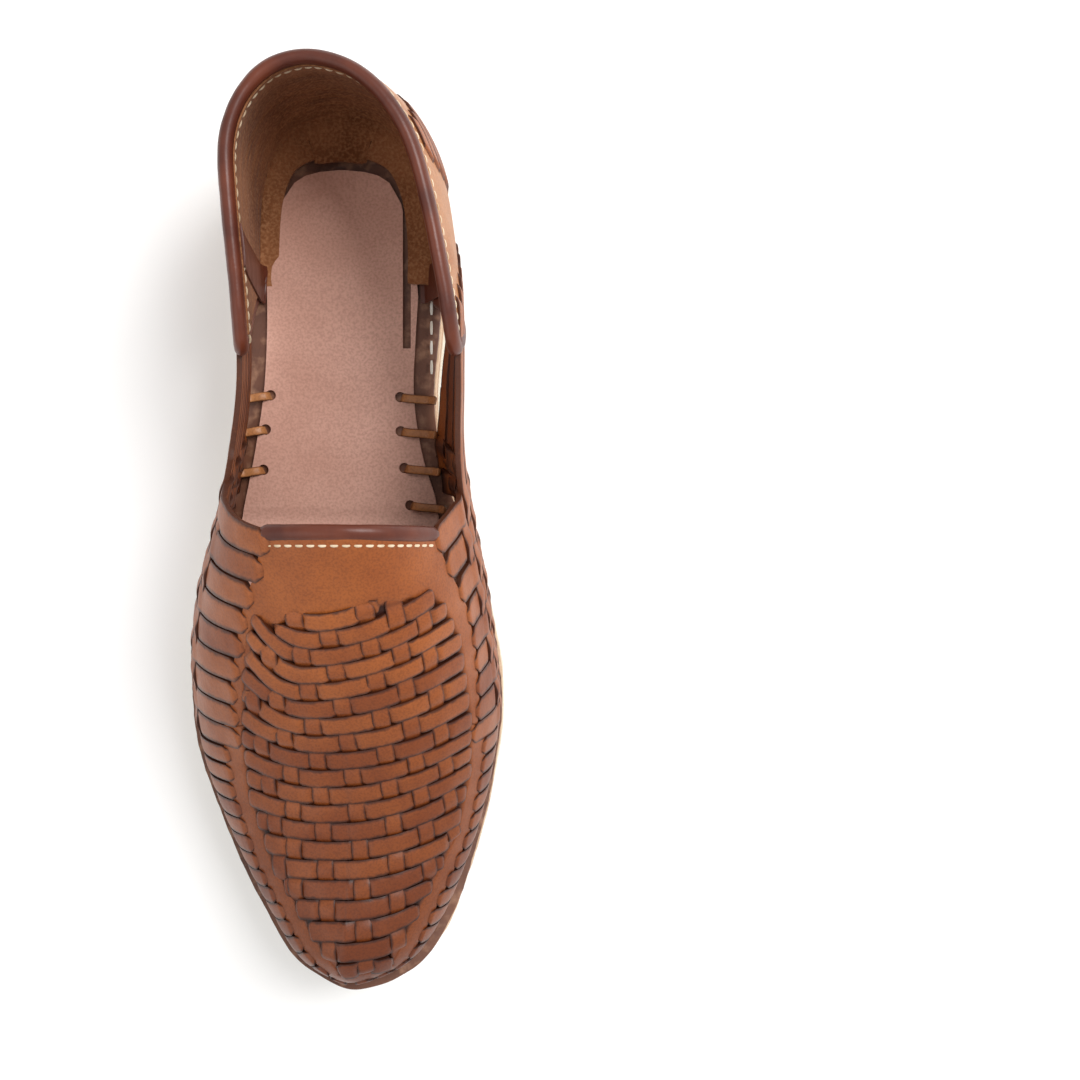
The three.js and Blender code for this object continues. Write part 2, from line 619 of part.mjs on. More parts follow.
const shoe = new THREE.Group();
const wedgeStation = search(0, lastRow, (t) => alongAt(1, t) < wedgeEnd * soleLength);
shoe.add(mesh('outsole', layer(floorLine, outsoleTop, 0, 0, lastRow, soleSteps, 0.6), 0xded6c4, 0.8));
shoe.add(mesh('heel_wedge', layer((y) => outsoleTop(y) + seam, wedgeTop, 0.3, 0, wedgeStation, 20), 0xd2a57d, 0.8));
shoe.add(mesh('midsole', layer(midsoleBottom, midsoleTop, 0.2, 0, lastRow, soleSteps), 0xd7b48c, 0.8));
shoe.add(mesh('insole_board', layer(boardBottom, boardTop, 0.4, 0, lastRow, soleSteps), 0x5f3728, 0.7));
shoe.add(mesh('insole_sock', sock, 0xb98c7d, 0.6));
shoe.add(mesh('upper', upper, 0xa8623a, 0.5));
shoe.add(mesh('heel_lining', lining, 0x785032, 0.9));
shoe.add(mesh('lining_band_lateral', liningBand(1), 0x4a2418, 0.5));
shoe.add(mesh('lining_band_medial', liningBand(-1), 0x4a2418, 0.5));
shoe.add(mesh('collar_binding', tube(collarPath, bindingDiameter), 0x692d1e, 0.4));
shoe.add(mesh('throat_binding', tube(throatPath, bindingDiameter), 0x692d1e, 0.4));
holes.forEach((hole, i) => {
  const name = hole.side > 0 ? `thong_lateral_${i + 1}` : `thong_medial_${i - 2}`;
  shoe.add(mesh(name, thong(hole), 0xa56440, 0.5));
});

// The origin lies on the floor under the middle of the whole shoe
const middle = new THREE.Box3().setFromObject(shoe).getCenter(new THREE.Vector3());
shoe.position.set(-middle.x, -middle.y, 0);
export default shoe;
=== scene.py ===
import math
import bpy
import numpy as np
from mathutils.bvhtree import BVHTree
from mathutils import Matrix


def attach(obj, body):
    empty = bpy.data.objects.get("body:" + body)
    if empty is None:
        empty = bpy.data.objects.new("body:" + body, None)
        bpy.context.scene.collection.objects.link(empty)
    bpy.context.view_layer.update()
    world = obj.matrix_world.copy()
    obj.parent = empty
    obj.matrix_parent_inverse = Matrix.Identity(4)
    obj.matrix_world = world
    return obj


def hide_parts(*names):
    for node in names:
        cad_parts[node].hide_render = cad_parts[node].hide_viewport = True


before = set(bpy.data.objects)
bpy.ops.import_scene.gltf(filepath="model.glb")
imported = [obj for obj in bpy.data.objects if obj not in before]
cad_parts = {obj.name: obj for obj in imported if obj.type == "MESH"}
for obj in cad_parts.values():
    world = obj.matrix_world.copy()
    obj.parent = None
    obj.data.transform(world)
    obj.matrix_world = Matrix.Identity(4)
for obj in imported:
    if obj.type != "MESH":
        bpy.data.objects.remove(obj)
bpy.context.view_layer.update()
bpy.ops.object.select_all(action="DESELECT")
mm = 0.001

# Camera and studio.
# The shoe is seen from straight above, toe down, left of the middle of the picture,
# from about 0.4 m over the floor, on white paper, in soft light that is strongest from the heel's side.
lens_height = 400 * mm
lens_across = -64.5 * mm
lens_along = 2.2 * mm
lens_spread = 1162 / 1080
bpy.ops.object.camera_add(location=(lens_across, lens_along, lens_height), rotation=(0, 0, math.pi))
camera = bpy.context.object
camera.data.sensor_width = 36
camera.data.lens = lens_spread * camera.data.sensor_width
camera.data.clip_start = 0.01
bpy.context.scene.camera = camera

bpy.ops.mesh.primitive_plane_add(size=6, location=(0, 0, 0))
floor = bpy.context.object
floor.name = "floor"
paper = bpy.data.materials.new("paper")
paper.use_nodes = True
paper_shader = paper.node_tree.nodes["Principled BSDF"]
paper_shader.inputs["Base Color"].default_value = (0.9, 0.9, 0.9, 1)
paper_shader.inputs["Roughness"].default_value = 0.9
floor.data.materials.append(paper)

world = bpy.data.worlds.new("studio")
bpy.context.scene.world = world
world.use_nodes = True
world.node_tree.nodes["Background"].inputs["Color"].default_value = (1, 0.99, 0.975, 1)
world.node_tree.nodes["Background"].inputs["Strength"].default_value = 0.74
bpy.context.scene.view_settings.view_transform = "Standard"
for name, place, size, power in (
    ("key_light", (-0.62, -0.42, 1.0), 0.6, 13),
    ("fill_light", (0.7, 0.5, 1.0), 1.0, 3),
):
    bpy.ops.object.light_add(type="AREA", location=place)
    light = bpy.context.object
    light.name = name
    light.data.size = size
    light.data.energy = power
    reach = math.hypot(place[0], place[1])
    light.rotation_euler = (0, math.atan2(reach, place[2]), math.atan2(place[1], place[0]))

# Sole plan and heights.
# The sole is cut from flat boards to one outline, wider at the ball and curved to the inner side,
# and stacked on the floor with a slight arch and a turned-up toe.
sole_length = 290 * mm
ball_width = 103 * mm
instep_height = 88 * mm
toe_spring = 20 * mm
arch_rise = 2.5 * mm
outsole_thickness = 5 * mm
midsole_thickness = 4.6 * mm
board_thickness = 2.2 * mm
sock_thickness = 1.2 * mm
heel_lift = 10.2 * mm
seam = 0.3 * mm
frame_across = -0.207 * mm
# along, lateral, medial, inset lateral, inset medial: shares of the length and of the ball width
plan = np.array([
    (0.000, 0.000, 0.000, 0.100, 0.100), (0.011, 0.130, 0.130, 0.095, 0.095),
    (0.035, 0.212, 0.212, 0.075, 0.075), (0.070, 0.279, 0.279, 0.058, 0.058),
    (0.120, 0.322, 0.322, 0.045, 0.042), (0.190, 0.333, 0.330, 0.040, 0.030),
    (0.276, 0.333, 0.308, 0.040, 0.020), (0.345, 0.346, 0.293, 0.040, 0.012),
    (0.414, 0.380, 0.312, 0.040, 0.006), (0.483, 0.428, 0.370, 0.040, 0.006),
    (0.552, 0.476, 0.438, 0.044, 0.010), (0.624, 0.507, 0.486, 0.050, 0.018),
    (0.690, 0.503, 0.504, 0.053, 0.020), (0.752, 0.471, 0.490, 0.053, 0.024),
    (0.814, 0.404, 0.457, 0.053, 0.029), (0.869, 0.324, 0.413, 0.053, 0.035),
    (0.921, 0.235, 0.359, 0.053, 0.044), (0.962, 0.154, 0.290, 0.053, 0.050),
    (0.986, 0.060, 0.200, 0.053, 0.053), (1.000, -0.058, 0.058, 0.053, 0.053),
])
last_row = len(plan) - 1


def column(lateral, medial, side, t):
    """A smooth curve through a pair of columns, read round the heel and the toe on to the other side."""
    t = np.asarray(t, float)
    k = np.clip(np.floor(t).astype(int), 0, last_row - 1)
    f = t - k

    def read(index):
        over = (index < 0) | (index > last_row)
        inside = np.where(index < 0, -index, np.where(index > last_row, 2 * last_row - index, index))
        own, other = (lateral, medial) if side > 0 else (medial, lateral)
        return np.where(over, other[inside], own[inside])

    a, b, c, d = read(k - 1), read(k), read(k + 1), read(k + 2)
    square, cube = 2 * a - 5 * b + 4 * c - d, 3 * b - a - 3 * c + d
    return 0.5 * (2 * b + (c - a) * f + square * f ** 2 + cube * f ** 3)


def across_at(side, t):
    return column(plan[:, 1], -plan[:, 2], side, t) * ball_width


def along_at(side, t):
    return column(plan[:, 0], plan[:, 0], side, t) * sole_length


def edge(side, t, inset):
    """Places and outward normals along the sole edge, drawn in by an inset."""
    t = np.asarray(t, float)
    before, after = np.maximum(t - 0.02, 0), np.minimum(t + 0.02, last_row)
    dx = across_at(side, after) - across_at(side, before)
    dy = along_at(side, after) - along_at(side, before)
    dx = np.where(t <= 0, side, np.where(t >= last_row, -side, dx))
    dy = np.where((t <= 0) | (t >= last_row), 0, dy)
    length = np.hypot(dx, dy)
    nx, ny = side * dy / length, -side * dx / length
    return across_at(side, t) - nx * inset, along_at(side, t) - ny * inset, nx, ny


def floor_line(y):
    s = np.asarray(y, float) / sole_length
    arch = np.where((s > 0.13) & (s < 0.55), np.sin(np.pi * (s - 0.13) / 0.42) ** 2, 0)
    spring = (np.clip(s - 0.66, 0, None) / 0.34) ** 1.7
    return arch_rise * arch + toe_spring * spring


wedge_end = 0.48
wedge_slope = np.array([(0, 1), (0.1, 0.88), (0.2, 0.75), (0.3, 0.6), (0.4, 0.36), (wedge_end, 0.05)])


def wedge_line(y):
    s = np.clip(np.asarray(y, float) / sole_length, 0, None)
    return heel_lift * np.interp(s, wedge_slope[:, 0], wedge_slope[:, 1]) * (s < wedge_end)


def board_top(y):
    wedge = wedge_line(y) * (1 + seam / heel_lift)
    return floor_line(y) + outsole_thickness + wedge + seam + midsole_thickness + seam + board_thickness


# Sole layers.
# Boards of crepe, lift and leather are cut to the plan, cemented in a stack and sanded together,
# so their edges run flush, with a thin glue line between two boards.
def soft_noise(places, scale, seed):
    """A smooth repeatable wobble from a few sine waves."""
    rng = np.random.default_rng(seed)
    total = np.zeros(len(places))
    for octave in range(4):
        direction = rng.normal(size=3)
        direction /= np.linalg.norm(direction)
        phase = rng.uniform(0, 2 * np.pi)
        total += np.sin(places @ direction * (2 * np.pi / scale) * 1.7 ** octave + phase) / 1.5 ** octave
    return total / 2.2


def set_places(piece, places):
    places = np.asarray(places, float) + np.array((frame_across, -sole_length / 2, 0))
    piece.data.vertices.foreach_set("co", places.astype(np.float32).ravel())
    piece.data.update()


def pick(*pieces):
    """Selects these pieces and nothing else, the first one active."""
    bpy.ops.object.select_all(action="DESELECT")
    for piece in pieces:
        piece.select_set(True)
    bpy.context.view_layer.objects.active = pieces[0]


def new_grid(name, steps_along, steps_across):
    """A flat grid primitive: its vertices run across first, then along."""
    bpy.ops.object.select_all(action="DESELECT")
    bpy.ops.mesh.primitive_grid_add(x_subdivisions=steps_across, y_subdivisions=steps_along, size=1)
    piece = bpy.context.object
    assert len(piece.data.vertices) == (steps_across + 1) * (steps_along + 1)
    piece.name = name
    piece.data.name = name
    return piece


def finish_with(piece, kind, **settings):
    """Adds a modifier and applies it at once."""
    pick(piece)
    modifier = piece.modifiers.new(kind.lower(), kind)
    for key, value in settings.items():
        setattr(modifier, key, value)
    bpy.ops.object.modifier_apply(modifier=modifier.name)


def smooth_edges(piece, angle=40):
    pick(piece)
    bpy.ops.object.shade_smooth_by_angle(angle=math.radians(angle))


def outward(piece):
    pick(piece)
    bpy.ops.object.mode_set(mode="EDIT")
    bpy.ops.mesh.select_all(action="SELECT")
    bpy.ops.mesh.remove_doubles(threshold=1e-6)
    bpy.ops.mesh.normals_make_consistent(inside=False)
    bpy.ops.object.mode_set(mode="OBJECT")


def sole_board(name, low, high, inset, last=last_row, rounding=0.5 * mm, ragged=0.0, seed=1):
    """One board: a sheet cut to the plan, thickened, then set to its own heights."""
    stations, columns = 170, 10
    piece = new_grid(name, stations, columns)
    t = last * np.linspace(0, 1, stations + 1)
    x1, y1, _, _ = edge(1, t, inset)
    x2, y2, _, _ = edge(-1, t, inset)
    share = np.linspace(0, 1, columns + 1)[None, :]
    x = x1[:, None] * (1 - share) + x2[:, None] * share
    y = y1[:, None] * (1 - share) + y2[:, None] * share
    x, y = x.ravel(), y.ravel()
    wobble = ragged * soft_noise(np.stack((x, y, 0 * x), 1), 19 * mm, seed)
    middle = 0.45 * sole_length
    x = x * (1 + wobble / (40 * mm))
    y = y + (y - middle) / sole_length * wobble
    finish_with(piece, "SOLIDIFY", thickness=1 * mm, offset=-1)
    set_places(piece, np.concatenate((np.stack((x, y, high(y)), 1), np.stack((x, y, low(y)), 1))))
    outward(piece)
    finish_with(piece, "BEVEL", width=rounding, segments=3, limit_method="ANGLE",
                angle_limit=math.radians(50))
    smooth_edges(piece, 50)
    return piece


def nodes_for(name):
    """A fresh material, short ways to link and add its nodes, and the object's coordinates."""
    material = bpy.data.materials.new(name)
    material.use_nodes = True
    tree = material.node_tree
    shader = tree.nodes["Principled BSDF"]

    def add(kind, **sockets):
        node = tree.nodes.new(kind)
        for key, value in sockets.items():
            key = key.replace("_", " ")
            if key in node.inputs:
                node.inputs[key].default_value = value
            else:
                setattr(node, key.replace(" ", "_"), value)
        return node

    return material, tree.links.new, shader, add, add("ShaderNodeTexCoord").outputs["Object"]


def blend_colours(link, add, factor, first, second, mode="MIX"):
    """Mixes two colours, each a fixed colour or a socket."""
    node = add("ShaderNodeMix", data_type="RGBA", blend_type=mode)
    for socket, value in ((node.inputs[0], factor), (node.inputs[6], first), (node.inputs[7], second)):
        if isinstance(value, bpy.types.NodeSocket):
            link(value, socket)
        elif isinstance(value, (tuple, list)):
            socket.default_value = (*value, 1)
        else:
            socket.default_value = value
    return node.outputs[2]


def spread(link, add, source, low, high, to_low=0.0, to_high=1.0):
    """Maps a range of values on to another, held at both ends."""
    node = add("ShaderNodeMapRange")
    link(source, node.inputs["Value"])
    for key, value in zip(("From Min", "From Max", "To Min", "To Max"), (low, high, to_low, to_high)):
        node.inputs[key].default_value = value
    return node.outputs["Result"]


def noise_on(link, add, vector, scale, detail=4.0, stretch=None):
    """Noise on the object's own coordinates, in cells per metre."""
    if stretch:
        mapping = add("ShaderNodeMapping")
        mapping.inputs["Scale"].default_value = stretch
        link(vector, mapping.inputs["Vector"])
        vector = mapping.outputs["Vector"]
    node = add("ShaderNodeTexNoise", Scale=scale, Detail=detail)
    link(vector, node.inputs["Vector"])
    return node.outputs["Fac"]


def raise_relief(link, add, shader, *layers):
    """Bump from the finest layer to the broadest, each a height, a strength and a depth."""
    normal = shader.inputs["Normal"]
    for height, strength, depth in layers:
        bump = add("ShaderNodeBump", Strength=strength, Distance=depth)
        link(height, bump.inputs["Height"])
        link(bump.outputs["Normal"], normal)
        normal = bump.inputs["Normal"]


def board_finish(name, base, dark, light, roughness, grain, grain_scale, streaks=(1, 1, 1), depth=0.15 * mm):
    """A sanded edge and a cut face: speckled, slightly stained and dull."""
    material, link, shader, add, vector = nodes_for(name)
    stain = spread(link, add, noise_on(link, add, vector, 28, 5, streaks), 0.35, 0.7)
    fine = noise_on(link, add, vector, grain_scale, 6, streaks)
    colour = blend_colours(link, add, stain, base, dark)
    colour = blend_colours(link, add, spread(link, add, fine, 0.45, 0.75), colour, light)
    link(colour, shader.inputs["Base Color"])
    shader.inputs["Roughness"].default_value = roughness
    raise_relief(link, add, shader, (fine, grain, depth))
    return material


def dress(piece, material, slot, *replaced):
    """Material, body, slot (not used) and the solids that the piece stands for."""
    piece.data.materials.clear()
    piece.data.materials.append(material)
    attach(piece, "root")
    if replaced:
        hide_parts(*replaced)


def outsole_top(y):
    return floor_line(y) + outsole_thickness


def wedge_top(y):
    return outsole_top(y) + wedge_line(y) * (1 + seam / heel_lift)


def midsole_low(y):
    return wedge_top(y) + seam


def midsole_high(y):
    return midsole_low(y) + midsole_thickness


def board_low(y):
    return midsole_high(y) + seam


glue = 0.25 * mm
outsole = sole_board("crepe_outsole", floor_line, lambda y: outsole_top(y) + glue / 2, 0.0 * mm,
                     rounding=0.7 * mm, ragged=0.25 * mm, seed=3)
cream, soiled_cream, pale_cream = (0.72, 0.66, 0.54), (0.6, 0.53, 0.41), (0.82, 0.78, 0.68)
crepe = board_finish("cream_crepe", cream, soiled_cream, pale_cream, 0.75, 0.5, 900, (1, 1, 0.6))
dress(outsole, crepe, "outsole", "outsole")

wedge_last = float(np.interp(wedge_end - 0.001, plan[:, 0], np.arange(len(plan))))
wedge = sole_board("heel_lift", lambda y: outsole_top(y) + glue, wedge_top, 0.35 * mm, wedge_last,
                   rounding=0.2 * mm, ragged=0.2 * mm, seed=4)
tan, stained_tan, pale_tan = (0.5, 0.31, 0.19), (0.4, 0.23, 0.13), (0.6, 0.42, 0.28)
lift = board_finish("tan_lift", tan, stained_tan, pale_tan, 0.8, 0.5, 700, (1, 1, 3))
dress(wedge, lift, "wedge", "heel_wedge")

midsole = sole_board("leather_midsole", lambda y: midsole_low(y) - glue,
                     lambda y: midsole_high(y) + glue / 2, 0.15 * mm,
                     rounding=0.45 * mm, ragged=0.25 * mm, seed=5)
beige, stained_beige, pale_beige = (0.62, 0.43, 0.28), (0.5, 0.32, 0.2), (0.74, 0.56, 0.4)
raw_board = board_finish("beige_board", beige, stained_beige, pale_beige, 0.8, 0.6, 500, (1, 1, 5))
dress(midsole, raw_board, "midsole", "midsole")

board = sole_board("insole_board_leather", lambda y: board_low(y) - glue / 2, board_top, 0.5 * mm,
                   rounding=0.55 * mm, ragged=0.3 * mm, seed=6)
rim, link, shader, add, vector = nodes_for("dark_rim_leather")
mottle = noise_on(link, add, vector, 260, 6)
patches = spread(link, add, noise_on(link, add, vector, 45, 4), 0.35, 0.7)
dark_rim, worn_rim, bare_rim = (0.085, 0.028, 0.014), (0.17, 0.062, 0.03), (0.3, 0.15, 0.085)
tint = blend_colours(link, add, patches, dark_rim, worn_rim)
tint = blend_colours(link, add, spread(link, add, mottle, 0.5, 0.75), tint, bare_rim)
link(tint, shader.inputs["Base Color"])
shader.inputs["Roughness"].default_value = 0.55
raise_relief(link, add, shader, (mottle, 0.8, 0.35 * mm))
dress(board, rim, "board", "insole_board")


# Last.
# The upper is shaped on a last. Each side runs in stations from the heel to the toe, each with a foot
# line inside the sole edge and a crown, and leather lies on that surface at a small lift.
# across, along, rise, fullness lateral and medial, swell lateral and medial, and where it swells
crown = np.array([
    (0.000, 0.142, 1.08, 2.0, 2.0, 0.055, 0.055, 0.27),
    (-0.010, 0.143, 1.08, 2.0, 2.0, 0.053, 0.055, 0.27),
    (-0.022, 0.147, 1.08, 2.0, 2.0, 0.045, 0.055, 0.28),
    (-0.036, 0.156, 1.08, 2.1, 2.1, 0.028, 0.056, 0.30),
    (-0.056, 0.178, 1.08, 2.3, 2.3, 0.004, 0.062, 0.34),
    (-0.077, 0.222, 1.08, 2.3, 2.4, -0.018, 0.084, 0.40),
    (-0.091, 0.280, 1.09, 2.2, 2.4, -0.034, 0.125, 0.44),
    (-0.096, 0.336, 1.09, 2.1, 2.4, -0.044, 0.132, 0.44),
    (-0.098, 0.402, 1.07, 2.1, 2.4, -0.044, 0.106, 0.44),
    (-0.095, 0.474, 1.01, 2.1, 2.4, -0.034, 0.068, 0.42),
    (-0.090, 0.545, 0.90, 2.1, 2.4, -0.012, 0.034, 0.38),
    (-0.085, 0.616, 0.765, 2.1, 2.4, 0.000, 0.016, 0.35),
    (-0.080, 0.680, 0.64, 2.1, 2.4, 0.006, 0.014, 0.35),
    (-0.075, 0.738, 0.515, 2.1, 2.4, 0.010, 0.014, 0.35),
    (-0.071, 0.790, 0.415, 2.2, 2.4, 0.010, 0.014, 0.35),
    (-0.067, 0.832, 0.350, 2.3, 2.4, 0.010, 0.012, 0.35),
    (-0.063, 0.866, 0.300, 2.4, 2.5, 0.010, 0.010, 0.35),
    (-0.060, 0.890, 0.268, 2.5, 2.6, 0.008, 0.008, 0.35),
    (-0.058, 0.900, 0.252, 2.6, 2.6, 0.008, 0.008, 0.35),
    (-0.058, 0.904, 0.246, 2.6, 2.6, 0.008, 0.008, 0.35),
])


def single(values, side, t):
    return column(values, values, side, t)


def last_wall(side, t):
    """Foot line, crown and shape of the wall at a station."""
    foot_x, foot_y, out_x, out_y = edge(side, t, column(plan[:, 3], plan[:, 4], side, t) * ball_width)
    base = board_top(foot_y) + seam
    top = single(crown[:, 0], side, t) * ball_width, single(crown[:, 1], side, t) * sole_length
    high = single(crown[:, 2], side, t) * instep_height
    full = column(crown[:, 3], crown[:, 4], side, t)
    swell = column(crown[:, 5], crown[:, 6], side, t) * ball_width
    return foot_x, foot_y, out_x, out_y, base, top, high, full, swell, single(crown[:, 7], side, t)


def last_point(side, t, up):
    """A place on the last: 0 at the foot line and 1 at the crown."""
    t, up = np.broadcast_arrays(np.asarray(t, float), np.asarray(up, float))
    foot_x, foot_y, out_x, out_y, base, top, high, full, swell, swell_at = last_wall(side, t)
    angle = np.pi / 2 * np.clip(up, 0, 1)
    share = np.sin(angle) ** (2 / full)
    inward = np.where(up >= 1, 0, np.abs(np.cos(angle)) ** (2 / full))
    bulge = swell * np.sin(np.pi * np.minimum(share, 1) ** (np.log(0.5) / np.log(swell_at)))
    x = top[0] + (foot_x - top[0]) * inward + out_x * bulge
    y = top[1] + (foot_y - top[1]) * inward + out_y * bulge
    return np.stack((x, y, base + high * share), -1)


def up_at(side, t, z):
    """The share of the wall that has a height."""
    base, high, full = (last_wall(side, t)[k] for k in (4, 6, 7))
    return np.arcsin(np.clip((z - base) / high, 0, 1) ** (full / 2)) * 2 / np.pi


def one_normal(side, t, up):
    u = np.minimum(up, 0.96)
    along = last_point(side, np.minimum(t + 0.02, last_row), u) - last_point(side, np.maximum(t - 0.02, 0), u)
    rise = last_point(side, t, u + 0.02) - last_point(side, t, np.maximum(u - 0.02, 0))
    ends = np.broadcast_to(((t <= 0) | (t >= last_row))[..., None], along.shape)
    straight = np.stack(np.broadcast_arrays(np.where(t <= 0, side, -side), 0.0 * t, 0.0 * t), -1)
    along = np.where(ends, straight, along)
    normal = np.cross(along, rise) * side
    return normal / np.linalg.norm(normal, axis=-1, keepdims=True)


def last_normal(side, t, up):
    """The outward direction, shared by both sides along the crown."""
    t, up = np.broadcast_arrays(np.asarray(t, float), np.asarray(up, float))
    own = one_normal(side, t, up)
    both = own + one_normal(-side, t, up)
    share = np.clip((up - 0.9) / 0.1, 0, 1)[..., None]
    normal = own * (1 - share) + both / 2 * share
    return normal / np.linalg.norm(normal, axis=-1, keepdims=True)


def last_tree():
    """The last as one fine mesh that rays can meet."""
    corners, faces = [], []
    t = np.linspace(0, last_row, 400)
    up = np.linspace(0, 1, 80)
    for side in (1, -1):
        places = last_point(side, t[:, None], up[None, :]).reshape(-1, 3)
        index = np.arange(len(places)).reshape(len(t), len(up)) + len(corners) * len(places)
        corners.append(places)
        quads = np.stack((index[:-1, :-1], index[1:, :-1], index[1:, 1:], index[:-1, 1:]), -1)
        faces.append(quads.reshape(-1, 4))
    return BVHTree.FromPolygons(np.concatenate(corners).tolist(), np.concatenate(faces).tolist())


last_shape = last_tree()


def seen_from_above(x, y):
    """Places and normals on the last under places across and along."""
    places, normals = [], []
    for across, along in zip(np.ravel(x), np.ravel(y)):
        place, normal, _, _ = last_shape.ray_cast((across, along, 1), (0, 0, -1))
        places.append(place)
        normals.append(normal if normal.z > 0 else -normal)
    return np.array(places), np.array(normals)


def seen_from_side(side, y, z):
    """Places and normals on one wall of the last at places along and heights."""
    places, normals = [], []
    low = board_top(y) + seam + 0.3 * mm
    for along, height in zip(np.ravel(y), np.maximum(np.ravel(z), low)):
        place, normal, _, _ = last_shape.ray_cast((-0.088 * ball_width, along, height), (side, 0, 0))
        if place is None:
            place, normal, _, _ = last_shape.ray_cast((-0.088 * ball_width, along, 1), (0, 0, -1))
        places.append(place)
        normals.append(normal if normal.x * side + normal.z > 0 else -normal)
    return np.array(places), np.array(normals)


def even(values, reach=2):
    """Evens out values along a path."""
    total = values.copy()
    for k in range(1, reach + 1):
        before = np.concatenate((values[:1].repeat(k, 0), values[:-k]))
        after = np.concatenate((values[k:], values[-1:].repeat(k, 0)))
        total += before + after
    return total / (2 * reach + 1)


def unit(vectors):
    return vectors / np.linalg.norm(vectors, axis=-1, keepdims=True)


def run_of(places):
    """Distance along a path."""
    return np.concatenate(((0,), np.cumsum(np.linalg.norm(np.diff(places, axis=0), axis=1))))


def set_map(piece, name, values):
    """A UV map from one pair of values for each vertex."""
    layer = piece.data.uv_layers.get(name) or piece.data.uv_layers.new(name=name)
    corners = np.empty(len(piece.data.loops), np.int32)
    piece.data.loops.foreach_get("vertex_index", corners)
    layer.data.foreach_set("uv", np.asarray(values, np.float32)[corners].ravel())


slant_reach = 8 * mm


def lay_strip(name, places, normals, widths, lifts, tone=0.5, shade_and_dark=None, columns=4,
              crowned=0.22 * mm, slant=(0, 0)):
    """A flat strip of leather as a grid along a path on the last, raised by its lifts.

    Its tone and its painted shade where it is tucked under other leather, with any darker tone of its own, go
    into a UV map, and its ends may be cut at a slant.
    """
    normals = unit(even(normals))
    tangent = unit(np.gradient(places, axis=0))
    across = unit(np.cross(tangent, normals))
    share = np.linspace(-0.5, 0.5, columns + 1)
    widths = np.broadcast_to(widths, len(places))
    lift = np.broadcast_to(lifts, len(places))[:, None] - crowned * (2 * np.abs(share))[None, :] ** 3
    grid = places[:, None] + across[:, None] * (widths[:, None] * share)[..., None]
    grid = grid + normals[:, None] * lift[..., None]
    run = run_of(places)
    shift = slant[0] * np.clip(1 - run / slant_reach, 0, 1)
    shift = shift + slant[1] * np.clip(1 - (run[-1] - run) / slant_reach, 0, 1)
    grid = grid + tangent[:, None] * (shift[:, None] * share)[..., None]
    piece = new_grid(name, len(places) - 1, columns)
    set_places(piece, grid.reshape(-1, 3))
    along = np.repeat(run, columns + 1)
    set_map(piece, "strip", np.stack((along / (20 * mm), np.tile(share + 0.5, len(places))), 1))
    # painted shade where the strip dives under, with any darker tone of its own
    dark = np.zeros(len(places)) if shade_and_dark is None else shade_and_dark
    set_map(piece, "wear", np.stack((np.full(len(along), tone), np.repeat(dark, columns + 1)), 1))
    return piece


def joined(pieces, name):
    pick(*pieces)
    bpy.ops.object.join()
    whole = bpy.context.object
    whole.name = name
    whole.data.name = name
    return whole


def cut_leather(pieces, name, thickness, rounding=0.3 * mm):
    """Joins laid strips and gives them their thickness and worn edges."""
    whole = joined(pieces, name)
    finish_with(whole, "SOLIDIFY", thickness=thickness, offset=-1)
    finish_with(whole, "BEVEL", width=rounding, segments=2, limit_method="ANGLE",
                angle_limit=math.radians(50))
    smooth_edges(whole, 45)
    return whole


def tapered(run, width, start=0.0, end=0.0, tip=0.15, power=0.5):
    """Widths along a strip whose ends narrow over a length."""
    share = np.ones_like(run)
    if start:
        share = np.minimum(share, np.clip(run / start, tip, 1) ** power)
    if end:
        share = np.minimum(share, np.clip((run[-1] - run) / end, tip, 1) ** power)
    return width * share


def bump_at(run, spot, reach):
    """A soft hump along a path: 1 at a spot and 0 past its reach."""
    return np.cos(np.pi / 2 * np.clip(np.abs(run - spot) / reach, 0, 1)) ** 2


def polish(shader, coat, roughness):
    """A soft shine of wax over leather that reflects little by itself."""
    shader.inputs["Specular IOR Level"].default_value = 0.3
    shader.inputs["Coat Weight"].default_value = coat
    shader.inputs["Coat Roughness"].default_value = roughness


